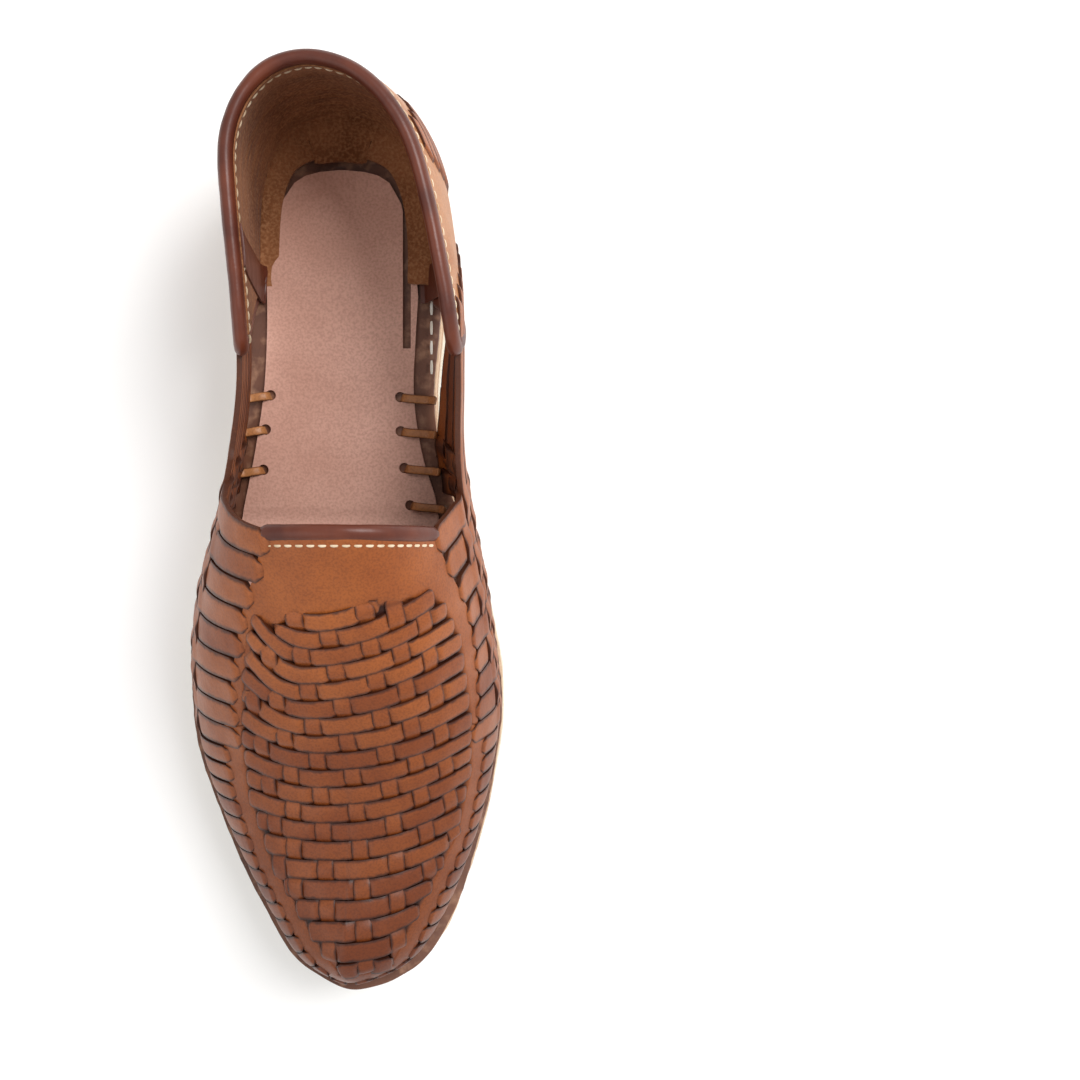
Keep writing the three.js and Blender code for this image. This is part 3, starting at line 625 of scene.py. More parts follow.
def strap_leather(name, honey, tan, burnt_and_shade, gloss=0.4):
    """Strip leather: dyed unevenly, burnished dark at its cut edges, with painted shade where it dives under
    other strips.
    """
    material, link, shader, add, vector = nodes_for(name)
    strip = add("ShaderNodeUVMap")
    strip.uv_map = "strip"
    wear = add("ShaderNodeUVMap")
    wear.uv_map = "wear"
    across = add("ShaderNodeSeparateXYZ")
    link(strip.outputs["UV"], across.inputs[0])
    shade = add("ShaderNodeSeparateXYZ")
    link(wear.outputs["UV"], shade.inputs[0])
    centred = add("ShaderNodeMath", operation="SUBTRACT")
    link(across.outputs["Y"], centred.inputs[0])
    centred.inputs[1].default_value = 0.5
    outer = add("ShaderNodeMath", operation="ABSOLUTE")
    link(centred.outputs[0], outer.inputs[0])
    cloud = noise_on(link, add, vector, 70, 4)
    patch = add("ShaderNodeMath", operation="ADD")
    link(shade.outputs["X"], patch.inputs[0])
    link(spread(link, add, cloud, 0.3, 0.7, -0.35, 0.35), patch.inputs[1])
    colour = blend_colours(link, add, patch.outputs[0], honey, tan)
    pores = noise_on(link, add, vector, 1500, 3)
    colour = blend_colours(link, add, spread(link, add, pores, 0.45, 0.62, 0.0, 0.22), colour, burnt_and_shade)
    rough_edge = noise_on(link, add, vector, 420, 3)
    edge_at = add("ShaderNodeMath", operation="ADD")
    link(outer.outputs[0], edge_at.inputs[0])
    link(spread(link, add, rough_edge, 0.3, 0.7, -0.045, 0.045), edge_at.inputs[1])
    burnished = spread(link, add, edge_at.outputs[0], 0.34, 0.47, 0.0, 0.85)
    colour = blend_colours(link, add, burnished, colour, burnt_and_shade)
    # painted shade: the UV map's second value darkens the colour toward the near-black edge colour where a
    # strip dives under another, at pushed-through ends, and over the panel's woven field
    colour = blend_colours(link, add, shade.outputs["Y"], colour, burnt_and_shade)
    place = add("ShaderNodeSeparateXYZ")
    link(vector, place.inputs[0])
    toward_toe = spread(link, add, place.outputs["Y"], 0.03, 0.14, 0.0, 1.0)
    colour = blend_colours(link, add, toward_toe, colour, (0.55, 0.48, 0.45), "MULTIPLY")
    link(colour, shader.inputs["Base Color"])
    link(spread(link, add, cloud, 0.3, 0.7, gloss, gloss + 0.16), shader.inputs["Roughness"])
    polish(shader, 0.08, 0.3)
    creases = noise_on(link, add, vector, 260, 5)
    raise_relief(link, add, shader, (pores, 0.35, 0.12 * mm), (creases, 0.4, 0.5 * mm))
    return material


# Vamp panel.
# One piece of smooth tan leather from the throat over the toes; the woven middle is cut in narrow
# bands, and a plain rail is left round it, from which the side strips go down to the sole.
wall_thickness = 2.2 * mm
collar_height = 84 * mm
throat_along = 0.507 * sole_length
# along and height of the rail's lower edge
rail_lateral = np.array([
    (0.507, 1.11), (0.54, 1.035), (0.572, 0.95), (0.617, 0.84), (0.662, 0.73), (0.71, 0.64),
    (0.76, 0.58), (0.81, 0.56), (0.862, 0.57), (0.905, 0.60), (0.95, 0.625), (1, 0.64),
])
rail_medial = np.array([
    (0.507, 0.92), (0.538, 0.83), (0.576, 0.69), (0.624, 0.60), (0.683, 0.55), (0.75, 0.535),
    (0.82, 0.55), (0.88, 0.59), (0.94, 0.622), (1, 0.64),
])
# row, lateral end across and sweep, medial end across and sweep, place of the furthest point (mm)
row_ends = np.array([
    (0, 4, -1, -21, -5, -3), (1, 8.5, -4, -35, -12, -2), (2, 14.8, -12, -38, -13.3, 0),
    (4, 19, -12.5, -41.5, -13.9, 3), (8, 24.3, -7.3, -44, -10.9, 0), (11, 24.5, -4.4, -43.5, -11.4, 0),
    (14, 18, 0, -38.8, -7.9, -3), (17, 6.1, 1, -27.8, -4.9, -8), (19, -2.7, 0.5, -19.9, -1.3, -11),
])
row_count = 20
# place of the first row, step to the next and how the steps grow (mm)
first_row, row_step, row_growth = 169.4, 5.0, 0.035
field_depth = 0.9 * mm


def rail_height(side, y):
    rows = rail_lateral if side > 0 else rail_medial
    return np.interp(np.asarray(y) / sole_length, rows[:, 0], rows[:, 1]) * collar_height


def rail_up(side, t):
    y = last_point(side, t, 0.45)[..., 1]
    for _ in range(4):
        up = up_at(side, t, rail_height(side, y))
        y = last_point(side, t, up)[..., 1]
    return up


def row_facts(r):
    return [np.interp(r, row_ends[:, 0], row_ends[:, k]) * mm for k in range(1, 6)]


def row_along(r, x):
    """Place along of a woven row: an arc that sweeps back to both ends."""
    lateral, lateral_sweep, medial, medial_sweep, furthest = row_facts(r)
    middle = (first_row + row_step * r + row_growth * r ** 2) * mm
    out = (x - furthest) / np.where(x > furthest, lateral - furthest, medial - furthest)
    return middle + np.where(x > furthest, lateral_sweep, medial_sweep) * np.abs(out) ** 2


def woven_share(x, y):
    """1 in the woven field of the vamp and 0 on the plain leather, with a soft border."""
    rows = np.linspace(-1, row_count + 0.5, 216)
    found = [np.interp(b, row_along(rows, a), rows) for a, b in zip(np.ravel(x), np.ravel(y))]
    found = np.array(found).reshape(np.shape(x))
    lateral, _, medial, _, _ = row_facts(found)
    inside = np.minimum(lateral - x, x - medial)
    before_last = np.minimum((found + 0.4) / 0.25, (row_count - 0.6 - found) / 0.3)
    border = np.clip(np.minimum(inside / (1.2 * mm), before_last), 0, 1)
    return border * border * (3 - 2 * border)


rail_width = 4.4 * mm
every_row = np.linspace(0, row_count - 0.6, 120)
lateral, _, medial, _, _ = row_facts(every_row)
tip_x = np.linspace(lateral[-1], medial[-1], 40)
stop_x = np.concatenate((lateral, medial, tip_x))
stop_y = np.concatenate((row_along(every_row, lateral), row_along(every_row, medial),
                         row_along(every_row[-1], tip_x)))
row_stops = seen_from_above(stop_x, stop_y)[0]


def finger_top(side, t):
    """How far up a side strip may reach before it meets the ends of the woven rows."""
    tops = []
    for station in np.ravel(t):
        tries = np.linspace(0.02, float(rail_up(side, station)) + 0.06, 60)
        spots = last_point(side, station, tries)
        clear = np.linalg.norm(spots[:, None] - row_stops[None], axis=2).min(1) > rail_width
        tops.append(tries[-1] if clear.all() else tries[max(np.argmin(clear) - 1, 20)])
    return np.array(tops)


start = float(np.interp(0.44, crown[:, 1], np.arange(len(crown))))
stations, half = 210, 62
t = start + (last_row - start) * np.linspace(0, 1, stations + 1)[:, None]
share = np.linspace(0, 1, half + 1)[None, :]
legs = []
for side in (-1, 1):
    low_up = rail_up(side, t)
    reach_down = even(finger_top(side, t), 3)[:, None] - 0.05
    at_toe = last_point(side, t, 0.3)[..., 1] > 0.7 * sole_length
    low_up = np.where(at_toe, np.minimum(low_up, reach_down), low_up)
    up = low_up + (1 - low_up) * share
    places, normals = last_point(side, t, up), last_normal(side, t, up)
    woven = woven_share(places[..., 0], places[..., 1])
    legs.append((places - normals * (field_depth * woven)[..., None], woven))
both = [np.concatenate((a, b[:, -2::-1]), 1) for a, b in zip(*legs)]
panel = new_grid("vamp_panel", stations, 2 * half)
set_places(panel, both[0].reshape(-1, 3))
woven = both[1].ravel()
set_map(panel, "strip", np.stack((0 * woven, 0 * woven + 0.5), 1))
# painted shade: the panel's woven field, seen only through the gaps between strips, is painted near black
set_map(panel, "wear", np.stack((0 * woven + 0.35, woven), 1))
bpy.ops.object.mode_set(mode="EDIT")
bpy.ops.mesh.select_all(action="SELECT")
throat_cut = (0, throat_along - sole_length / 2, 0)
bpy.ops.mesh.bisect(plane_co=throat_cut, plane_no=(0, 1, 0), clear_inner=True)
bpy.ops.mesh.select_all(action="SELECT")
bpy.ops.mesh.remove_doubles(threshold=2e-5)
bpy.ops.object.mode_set(mode="OBJECT")
cut_leather([panel], "vamp_panel", wall_thickness - 0.2 * mm, 0.35 * mm)
# the near-black third colour is both the burnished cut edge and the painted shade under the weave and where
# strips dive under
honey_tan, deep_tan, burnt_edge_and_shade = (0.31, 0.085, 0.018), (0.2, 0.046, 0.009), (0.028, 0.006, 0.003)
leather = strap_leather("tan_leather", honey_tan, deep_tan, burnt_edge_and_shade)
dress(panel, leather, "weave", "upper")

# Woven rows and bands.
# Narrow strips of the same leather run across through cuts in the vamp, over one band and under the
# next; every row starts one band further, and its ends are pushed through the rail.
# the bands' places across, in mm, at five places along
band_places = np.array((165, 190, 215, 240, 272)) * mm
bands = np.array([
    (19.5, 18.5, 17, 15, 14), (11.5, 10.8, 9, 9.8, 9.5), (2.5, 0.8, 0.6, 0.4, -0.8),
    (-6, -8.2, -9.3, -10.5, -11.6), (-17, -18.7, -19.6, -21, -21.3), (-24.8, -26.4, -28, -30.3, -31),
    (-31.5, -34, -36, -38, -39),
]) * mm
# first and last row that each band crosses
band_rows = ((4, 14), (2, 16), (0, 20), (0, 20), (0, 20), (0, 17), (1, 14))
weft_thickness, band_thickness, band_width = 1.3 * mm, 1.2 * mm, 5.3 * mm
rng = np.random.default_rng(11)
rows = []
for r in range(row_count):
    lateral, _, medial, _, _ = row_facts(r)
    x = np.linspace(lateral, medial, 110)
    places, normals = seen_from_above(x, row_along(r, x))
    run = run_of(places)
    lift = np.full(len(x), 0.72) * mm
    shade_and_dark = np.zeros(len(x))
    for k, column_across in enumerate(bands):
        spot_across = np.interp(places[:, 1], band_places, column_across)
        nearest = int(np.argmin(np.abs(spot_across - x)))
        missed = abs(spot_across[nearest] - x[nearest]) > 1 * mm
        if missed or not band_rows[k][0] <= r <= band_rows[k][1]:
            continue
        if (r + k) % 2:
            lift = lift + 0.2 * mm * bump_at(run, run[nearest], 4 * mm)
        else:
            lift = lift - 1.35 * mm * bump_at(run, run[nearest], 4.4 * mm)
            # painted shade where the row dives under a band
            shade_and_dark = shade_and_dark + 0.9 * bump_at(run, run[nearest], 3.9 * mm)
    ends = bump_at(run, 0, 1.6 * mm) + bump_at(run, run[-1], 1.6 * mm)
    lift = lift - 0.95 * mm * ends
    # painted shade at both ends, where the row is pushed through the rail
    shade_and_dark = np.clip(shade_and_dark + 0.7 * ends, 0, 1)
    pitch = row_along(r + 0.5, x) - row_along(r - 0.5, x)
    slope = np.sqrt(1 + (normals[:, 1] / np.maximum(normals[:, 2], 0.3)) ** 2)
    skew = np.abs(np.gradient(x)) / np.hypot(np.gradient(x), np.gradient(places[:, 1]))
    room = np.clip(even(pitch * slope * skew, 5) - 0.25 * mm, 4.2 * mm, 6.6 * mm)
    widths = tapered(run, room, 2.2 * mm, 2.2 * mm, 0.2)
    tone = rng.uniform(0.1, 0.9) + 0.02 * r
    rows.append(lay_strip(f"row_{r}", places, normals, widths, lift, tone, shade_and_dark))
rows = cut_leather(rows, "woven_rows", weft_thickness)
dress(rows, leather, "weave", "upper")

bands_made = []
for k, column_across in enumerate(bands):
    first, last = band_rows[k]
    ends = []
    for r in (first - 0.9, last + 0.7):
        end_across = np.interp((first_row + row_step * r) * mm, band_places, column_across)
        ends.append(row_along(r, end_across))
    y = np.linspace(ends[0], min(ends[1], 280 * mm), 150)
    x = np.interp(y, band_places, column_across)
    places, normals = seen_from_above(x, y)
    run = run_of(places)
    lift = np.full(len(x), 0.0)
    for r in range(first, min(last + 1, row_count)):
        nearest = int(np.argmin(np.abs(row_along(r, x) - y)))
        sign = -1 if (r + k) % 2 else 1
        lift = lift + sign * 0.75 * mm * bump_at(run, run[nearest], 5 * mm)
    field = woven_share(x, y)
    # painted shade where the band dips under a row
    shade_and_dark = field * np.clip(0.25 - lift / (0.8 * mm), 0, 0.9) ** 1.5
    lift = lift * field - 0.2 * mm * (1 - field)
    tone = rng.uniform(0.4, 0.9)
    bands_made.append(lay_strip(f"band_{k}", places, normals, band_width, lift, tone, shade_and_dark))
vamp_bands = cut_leather(bands_made, "vamp_bands", band_thickness)
dress(vamp_bands, leather, "weave", "upper")


# Side strips round the toe.
# The rail's lower edge is cut into fingers that bend down and are caught between midsole and board,
# with narrow gaps that open toward the ball of the foot.
strip_pitch = 6.4 * mm
finger_width, finger_thickness, finger_lean = 5.6 * mm, 1.7 * mm, 2.5 * mm
fingers = []
for side in (1, -1):
    t = last_row - np.arange(0, last_row * 8 + 1) / 8
    run_out = run_of(last_point(side, t, np.zeros_like(t)))
    count = int(0.5 * sole_length / strip_pitch)
    for k in range(count):
        at = float(np.interp((k + 0.5) * strip_pitch, run_out, t))
        if last_point(side, at, 0.0)[1] < 0.715 * sole_length:
            break
        lean = float(np.interp((k + 0.5) * strip_pitch + finger_lean, run_out, t)) - at
        share = np.linspace(0, 1, 26)
        up = finger_top(side, at)[0] * (1 - share) + 0.02 * share
        ts = np.minimum(at + lean * share, last_row)
        places, normals = last_point(side, ts, up), last_normal(side, ts, up)
        run = run_of(places)
        lift = (0.75 - 0.3 * share) * mm - 1.0 * mm * bump_at(run, 0, 1.8 * mm)
        # painted shade at the finger's top, where it leaves the rail, and at its foot
        shade_and_dark = np.clip(0.75 * bump_at(run, 0, 1.6 * mm) + 0.5 * bump_at(run, run[-1], 4 * mm), 0, 1)
        widths = tapered(run, finger_width, 2.4 * mm, 0, 0.25) * (1 - 0.12 * share)
        fingers.append(lay_strip("finger", places, normals, widths, lift, rng.uniform(0.1, 0.95), shade_and_dark))
fingers = cut_leather(fingers, "side_fingers", finger_thickness, 0.4 * mm)
dress(fingers, leather, "weave", "upper")


# Side weave and straps.
# Below the rail two families of strips cross over and under each other: one runs down and back from
# the rail, the other comes forward from the straps that are threaded through cuts in the counter.
strap_thickness = 1.6 * mm
# along at the rail, along at the sole
down_strips = (
    (0.712, 0.686), (0.688, 0.653), (0.663, 0.62), (0.638, 0.586), (0.613, 0.551),
    (0.588, 0.514), (0.563, 0.475), (0.538, 0.436), (0.514, 0.398),
)
# short strips above the straps, folded in at the opening: side, along, height, along at the sole
top_strips = ((-1, 0.472, 0.735, 0.765), (1, 0.472, 0.735, 0.765), (1, 0.486, 0.85, 0.79))
# along, height, along at the sole, back end along, back end height, width (mm), tone, how dark
forward_strips = (
    (0.455, 0.665, 0.735, 0.265, 0.80, 5.6, 0.0, 0.0),
    (0.425, 0.605, 0.69, 0.25, 0.745, 5.4, 0.1, 0.0),
    (0.41, 0.54, 0.64, 0.236, 0.69, 5.4, 0.6, 0.12),
    (0.39, 0.475, 0.585, 0.222, 0.63, 5.4, 0.35, 0.0),
    (0.378, 0.405, 0.525, 0.206, 0.57, 6.2, 1.0, 0.42),
    (0.365, 0.335, 0.455, 0.192, 0.505, 5.4, 0.4, 0.0),
)


def side_path(side, corners, steps):
    """A path on one wall through corners of place along and height, evenly stepped."""
    corners = np.array(corners)
    run = run_of(corners)
    at = np.linspace(0, run[-1], steps)
    along, height = np.interp(at, run, corners[:, 0]), np.interp(at, run, corners[:, 1])
    return seen_from_side(side, even(along, 3), even(height, 3))


def course_down(along, height, sole_share):
    """Corners of a strip that comes forward and down to the sole from a place on the wall."""
    y, z = along * sole_length, height * collar_height
    y_low = sole_share * sole_length
    low = board_top(y_low) + seam
    return [(y, z)] + [(y + f * (y_low - y), z + f ** 0.9 * (low - z)) for f in (0.35, 0.7, 1)]


def spacing(paths, i):
    """How far a path's neighbours lie from it, at each of its stations."""
    gaps = []
    for k in (i - 1, i + 1):
        if 0 <= k < len(paths):
            apart = np.linalg.norm(paths[i][0][:, None] - paths[k][0][None], axis=2)
            gaps.append(apart.min(1))
    return even(np.mean(gaps, 0), 6)


side_pieces = []
for side in (1, -1):
    down, forward = [], []
    for rail_share, sole_share in down_strips:
        y, y_low = rail_share * sole_length, sole_share * sole_length
        top = rail_height(side, y) + 3.2 * mm
        low = board_top(y_low) + seam
        middle = (0.5 * (y + y_low) + 1.5 * mm, 0.52 * top + 0.48 * low)
        down.append(side_path(side, ((y, top), middle, (y_low, low)), 60))
    for along, height, sole_share, back, back_height, *_ in forward_strips:
        strap_end = (back * sole_length, back_height * collar_height)
        forward.append(side_path(side, (strap_end, *course_down(along, height, sole_share)), 110))
    for strip_side, along, height, sole_share in top_strips:
        if strip_side == side:
            forward.insert(0, side_path(side, course_down(along, height, sole_share), 100))
    extra = len(forward) - len(forward_strips)
    lifts = {}
    for i, (a, _) in enumerate(down):
        for j, (b, _) in enumerate(forward):
            gaps = np.linalg.norm(a[:, None] - b[None], axis=2)
            k, m = np.unravel_index(np.argmin(gaps), gaps.shape)
            if gaps[k, m] > 1.2 * mm:
                continue
            over = 1 if (i + j - extra) % 2 else -1
            lifts.setdefault(("a", i), []).append((k, over))
            lifts.setdefault(("b", j), []).append((m, -over))
    for family, paths in (("a", down), ("b", forward)):
        for i, (places, normals) in enumerate(paths):
            run = run_of(places)
            lift = np.full(len(run), 0.25 if family == "a" else 0.5) * mm
            shade_and_dark = np.zeros(len(run))
            slant = (0, 0)
            for k, over in lifts.get((family, i), ()):
                near = bump_at(run, run[k], 4.3 * mm)
                lift = lift + (0.6 * mm * near if over > 0 else -0.95 * mm * near)
                # painted shade where the strip passes under another
                shade_and_dark = shade_and_dark + (0 if over > 0 else 0.85) * bump_at(run, run[k], 3.6 * mm)
            if family == "a":
                lift = lift + 0.5 * mm * bump_at(run, 0, 9 * mm) - 1.1 * mm * bump_at(run, 0, 1.8 * mm)
                # painted shade where the strip comes out of the rail
                shade_and_dark = shade_and_dark + 0.7 * bump_at(run, 0, 1.6 * mm)
                room = np.clip(0.93 * spacing(down, i), 4.8 * mm, 8.6 * mm)
                widths = tapered(run, room, 3.4 * mm, 0, 0.15, 0.7)
                tone = rng.uniform(0.05, 0.8)
            elif i < extra:
                lift = lift - 0.9 * mm * bump_at(run, 0, 3 * mm)
                widths = np.clip(0.9 * spacing(forward, i), 5 * mm, 6.2 * mm)
                tone = 0.3
            else:
                width, tone, dark = forward_strips[i - extra][5:]
                lift = lift + 0.5 * mm * bump_at(run, 0, 14 * mm) - 0.9 * mm * bump_at(run, 0, 1.2 * mm)
                shade_and_dark = np.maximum(shade_and_dark, dark * np.clip(1.2 - run / (75 * mm), 0, 1))
                room = np.clip(0.9 * spacing(forward, i), 5.2 * mm, 6.6 * mm)
                widths = np.where(run < 45 * mm, np.minimum(width * mm, room), room)
                slant = (side * 2.4 * mm, 0)
            # painted shade at the strip's foot, by the sole
            shade_and_dark = np.clip(shade_and_dark + 0.4 * bump_at(run, run[-1], 3 * mm), 0, 1)
            name = f"side_{family}_{i}"
            side_pieces.append(lay_strip(name, places, normals, widths, lift, tone, shade_and_dark, slant=slant))
side_weave = cut_leather(side_pieces, "side_weave", strap_thickness, 0.35 * mm)
dress(side_weave, leather, "weave", "upper")


# Heel counter.
# A stiff shell of tan leather round the heel, open at the front, with cuts through which the straps
# pass and a staggered group of short pointed strips on each side.
binding_height = 4.3 * mm
# along and height of the collar, then share of the height and along of the front edge
topline = np.array([(0.04, 1.0), (0.10, 1.005), (0.17, 0.985), (0.24, 0.955), (0.285, 0.925), (0.32, 0.86)])
counter_front = np.array([(0, 0.235), (0.3, 0.262), (0.75, 0.305), (1, 0.318)])


def collar_line(y):
    return np.interp(np.asarray(y) / sole_length, topline[:, 0], topline[:, 1]) * collar_height - binding_height


def station_at(side, y, z):
    """The station that has a place along the shoe at a height."""
    low, high = np.zeros(np.shape(y)), np.full(np.shape(y), float(last_row))
    for _ in range(26):
        middle = (low + high) / 2
        below = last_point(side, middle, up_at(side, middle, z))[..., 1] < y
        low, high = np.where(below, middle, low), np.where(below, high, middle)
    return (low + high) / 2


def counter_places(lift, around, high, trim=0.0):
    """Places and normals round the heel, from the sole to the collar, medial side first."""
    v = np.linspace(0, 1, high + 1)
    front = np.interp(v, counter_front[:, 0], counter_front[:, 1]) * sole_length - trim
    low = board_top(front) + seam
    front_high = low + (collar_line(front) - low) * v
    sides = []
    for side in (-1, 1):
        u = np.linspace(1, 0, around + 1) if side < 0 else np.linspace(0, 1, around + 1)
        t = u[None, :] ** 0.85 * station_at(side, front, front_high)[:, None]
        foot = board_top(last_point(side, t, 0 * t)[..., 1]) + seam
        guess = last_point(side, t, up_at(side, t, collar_height + 0 * t))[..., 1]
        z = foot + (collar_line(guess) - trim / 4 - foot) * v[:, None]
        up = up_at(side, t, z)
        normals = last_normal(side, t, up)
        sides.append((last_point(side, t, up) + normals * lift, normals))
    return [np.concatenate((a[:, :-1], b), 1) for a, b in zip(*sides)]


around, high = 60, 30
places, normals = counter_places(0.0, around, high)
counter = new_grid("heel_counter", high, 2 * around)
set_places(counter, places.reshape(-1, 3))
corners = (high + 1) * (2 * around + 1)
set_map(counter, "strip", np.full((corners, 2), (0, 0.5)))
set_map(counter, "wear", np.full((corners, 2), (0.1, 0.0)))
cut_leather([counter], "heel_counter", 1.9 * mm, 0.3 * mm)
natural_tan, shaded_tan, burnt_cut = (0.44, 0.185, 0.068), (0.30, 0.098, 0.03), (0.04, 0.011, 0.005)
counter_leather = strap_leather("counter_leather", natural_tan, shaded_tan, burnt_cut, 0.38)
dress(counter, counter_leather, "weave", "upper")

# back end along, back height, front end along, front height (mm), tone, how dark
chevrons = (
    (27.5, 71.5, 38.5, 70.5, 0.0, 0.0),
    (24, 66.2, 39.5, 64.8, 0.3, 0.05),
    (20.5, 61, 40, 59, 0.6, 0.1),
    (17, 56, 40.5, 53.2, 0.3, 0.0),
    (13.5, 50.8, 40, 47.4, 1.0, 0.4),
    (10.5, 45.4, 39.5, 41.4, 0.4, 0.0),
)
chevron_width, chevron_thickness = 5.35 * mm, 1.2 * mm
short = []
for side in (1, -1):
    for i, (back, back_high, front, front_high, tone, dark) in enumerate(chevrons):
        ends_at = ((back * mm, back_high * mm), (front * mm, front_high * mm))
        places, normals = side_path(side, ends_at, 44)
        run = run_of(places)
        ends = bump_at(run, 0, 1.4 * mm) + bump_at(run, run[-1], 1.4 * mm)
        lift = (0.85 - 0.75 * ends) * mm
        # painted shade at both ends, where the strip goes into the counter, on top of the strip's own darker
        # tone
        shade_and_dark = np.maximum(dark, 0.6 * ends)
        slant = (side * 1.6 * mm, side * 4.2 * mm)
        short.append(lay_strip(f"chevron_{i}", places, normals, chevron_width, lift, tone, shade_and_dark, slant=slant))
short = cut_leather(short, "counter_chevrons", chevron_thickness)
dress(short, leather, "weave", "upper")

# Suede heel lining.
# Brown split leather with the nap inside, pasted round the inside of the counter and folded in over
# the board at the foot, with a dark band of binding leather over each side of it.
def suede(name, base, dark, light):
    material, link, shader, add, vector = nodes_for(name)
    cloud = noise_on(link, add, vector, 55, 5)
    nap = noise_on(link, add, vector, 1100, 4)
    folds_with_shade = noise_on(link, add, vector, 60, 3, (1, 1, 6))
    colour = blend_colours(link, add, spread(link, add, cloud, 0.35, 0.7), base, dark)
    colour = blend_colours(link, add, spread(link, add, nap, 0.42, 0.66, 0, 0.6), colour, light)
    # painted shade: the colour darkens along the fold pattern
    colour = blend_colours(link, add, spread(link, add, folds_with_shade, 0.55, 0.7, 0, 0.4), colour, dark)
    link(colour, shader.inputs["Base Color"])
    shader.inputs["Roughness"].default_value = 0.95
    shader.inputs["Specular IOR Level"].default_value = 0.15
    shader.inputs["Sheen Weight"].default_value = 0.04
    raise_relief(link, add, shader, (nap, 0.7, 0.25 * mm), (folds_with_shade, 0.8, 1.2 * mm))
    return material


lining_thickness = 1.0 * mm
# how far the folded foot reaches in and how high it lies (mm)
flange_rows = ((7.5, 0.5), (5, 0.6), (2.6, 0.9), (1, 2.0))
places, normals = counter_places(-wall_thickness - seam, around, high, 3 * mm)
foot = places[0]
inward = unit(-normals[0] * (1, 1, 0))
wider_at_heel = 1 + 0.85 * bump_at(np.arange(len(foot)), around, 34)[:, None]
flange = [foot + inward * reach * wider_at_heel * mm + np.array((0, 0, rise * mm))
          for reach, rise in flange_rows]
lining_grid = np.concatenate((np.stack(flange), places[1:]))
rows_high = len(lining_grid) - 1
lining = new_grid("suede_lining", rows_high, 2 * around)
set_places(lining, lining_grid[:, ::-1].reshape(-1, 3))
finish_with(lining, "SMOOTH", factor=0.5, iterations=2)
finish_with(lining, "SOLIDIFY", thickness=lining_thickness, offset=1)
smooth_edges(lining, 50)
suede_brown, suede_shade, suede_nap = (0.29, 0.115, 0.048), (0.16, 0.056, 0.02), (0.42, 0.2, 0.095)
nap = suede("heel_suede", suede_brown, suede_shade, suede_nap)
dress(lining, nap, "suede", "heel_lining")


def binding_leather(name, base, dark):
    """Smooth dark red-brown garment leather with a soft gloss."""
    material, link, shader, add, vector = nodes_for(name)
    cloud = noise_on(link, add, vector, 90, 4)
    pores = noise_on(link, add, vector, 1300, 3)
    colour = blend_colours(link, add, spread(link, add, cloud, 0.35, 0.7), base, dark)
    link(colour, shader.inputs["Base Color"])
    link(spread(link, add, cloud, 0.3, 0.7, 0.34, 0.48), shader.inputs["Roughness"])
    polish(shader, 0.1, 0.28)
    wrinkles = noise_on(link, add, vector, 190, 4)
    raise_relief(link, add, shader, (pores, 0.3, 0.1 * mm), (wrinkles, 0.35, 0.6 * mm))
    return material


dark_leather = binding_leather("dark_binding_leather", (0.125, 0.03, 0.014), (0.07, 0.015, 0.008))
dark_band_along, dark_band_width, dark_band_thickness = 0.222 * sole_length, 12 * mm, 0.8 * mm
for side, name in ((1, "lateral"), (-1, "medial")):
    y = dark_band_along
    z = np.linspace(board_top(y) + 3 * mm, collar_line(y) - 2 * mm, 30)
    places, normals = seen_from_side(side, np.full(30, y), z)
    places, normals = places - normals * 4.3 * mm, -normals
    sock_side = side * (0.262 if side > 0 else 0.246) * ball_width
    floor_x = np.linspace(sock_side, places[0, 0] - side * 1.5 * mm, 8)
    floor_places = np.stack((floor_x, np.full(8, y), np.full(8, board_top(y) + 2.2 * mm)), 1)
    places = even(np.concatenate((floor_places, places)), 2)
    normals = unit(even(np.concatenate((np.tile((0, 0, 1.0), (8, 1)), normals)), 2))
    band = lay_strip(f"dark_band_{name}", places, normals, dark_band_width, 0.0, columns=6, crowned=0.3 * mm)
    cut_leather([band], f"dark_band_{name}", dark_band_thickness, 0.2 * mm)
    dress(band, dark_leather, "binding", f"lining_band_{name}")


# Bindings.
# A folded strip of dark leather is rolled over the collar, down both front edges of the counter, and
# another over the throat; each is sewn through with cream thread.
def rolled(name, places, normals, half_out, half_deep, around=14, ends=3 * mm):
    """A rolled binding along an edge: an oval tube, closed at its ends."""
    tangent = unit(np.gradient(places, axis=0))
    normals = unit(even(normals, 3))
    deep = unit(np.cross(tangent, normals))
    run = run_of(places)
    near = np.minimum(run, run[-1] - run) / ends
    round_off = np.sqrt(np.clip(1 - (1 - np.clip(near, 0, 1)) ** 2, 0.0009, 1))[:, None, None]
    angle = np.linspace(0, 2 * np.pi, around + 1)
    wobble = 1 + 0.05 * soft_noise(places, 23 * mm, 8)[:, None, None]
    ring = normals[:, None] * (np.cos(angle) * half_out)[None, :, None]
    ring = ring + deep[:, None] * (np.sin(angle) * half_deep)[None, :, None]
    piece = new_grid(name, len(places) - 1, around)
    set_places(piece, (places[:, None] + ring * round_off * wobble).reshape(-1, 3))
    outward(piece)
    smooth_edges(piece, 60)
    return piece


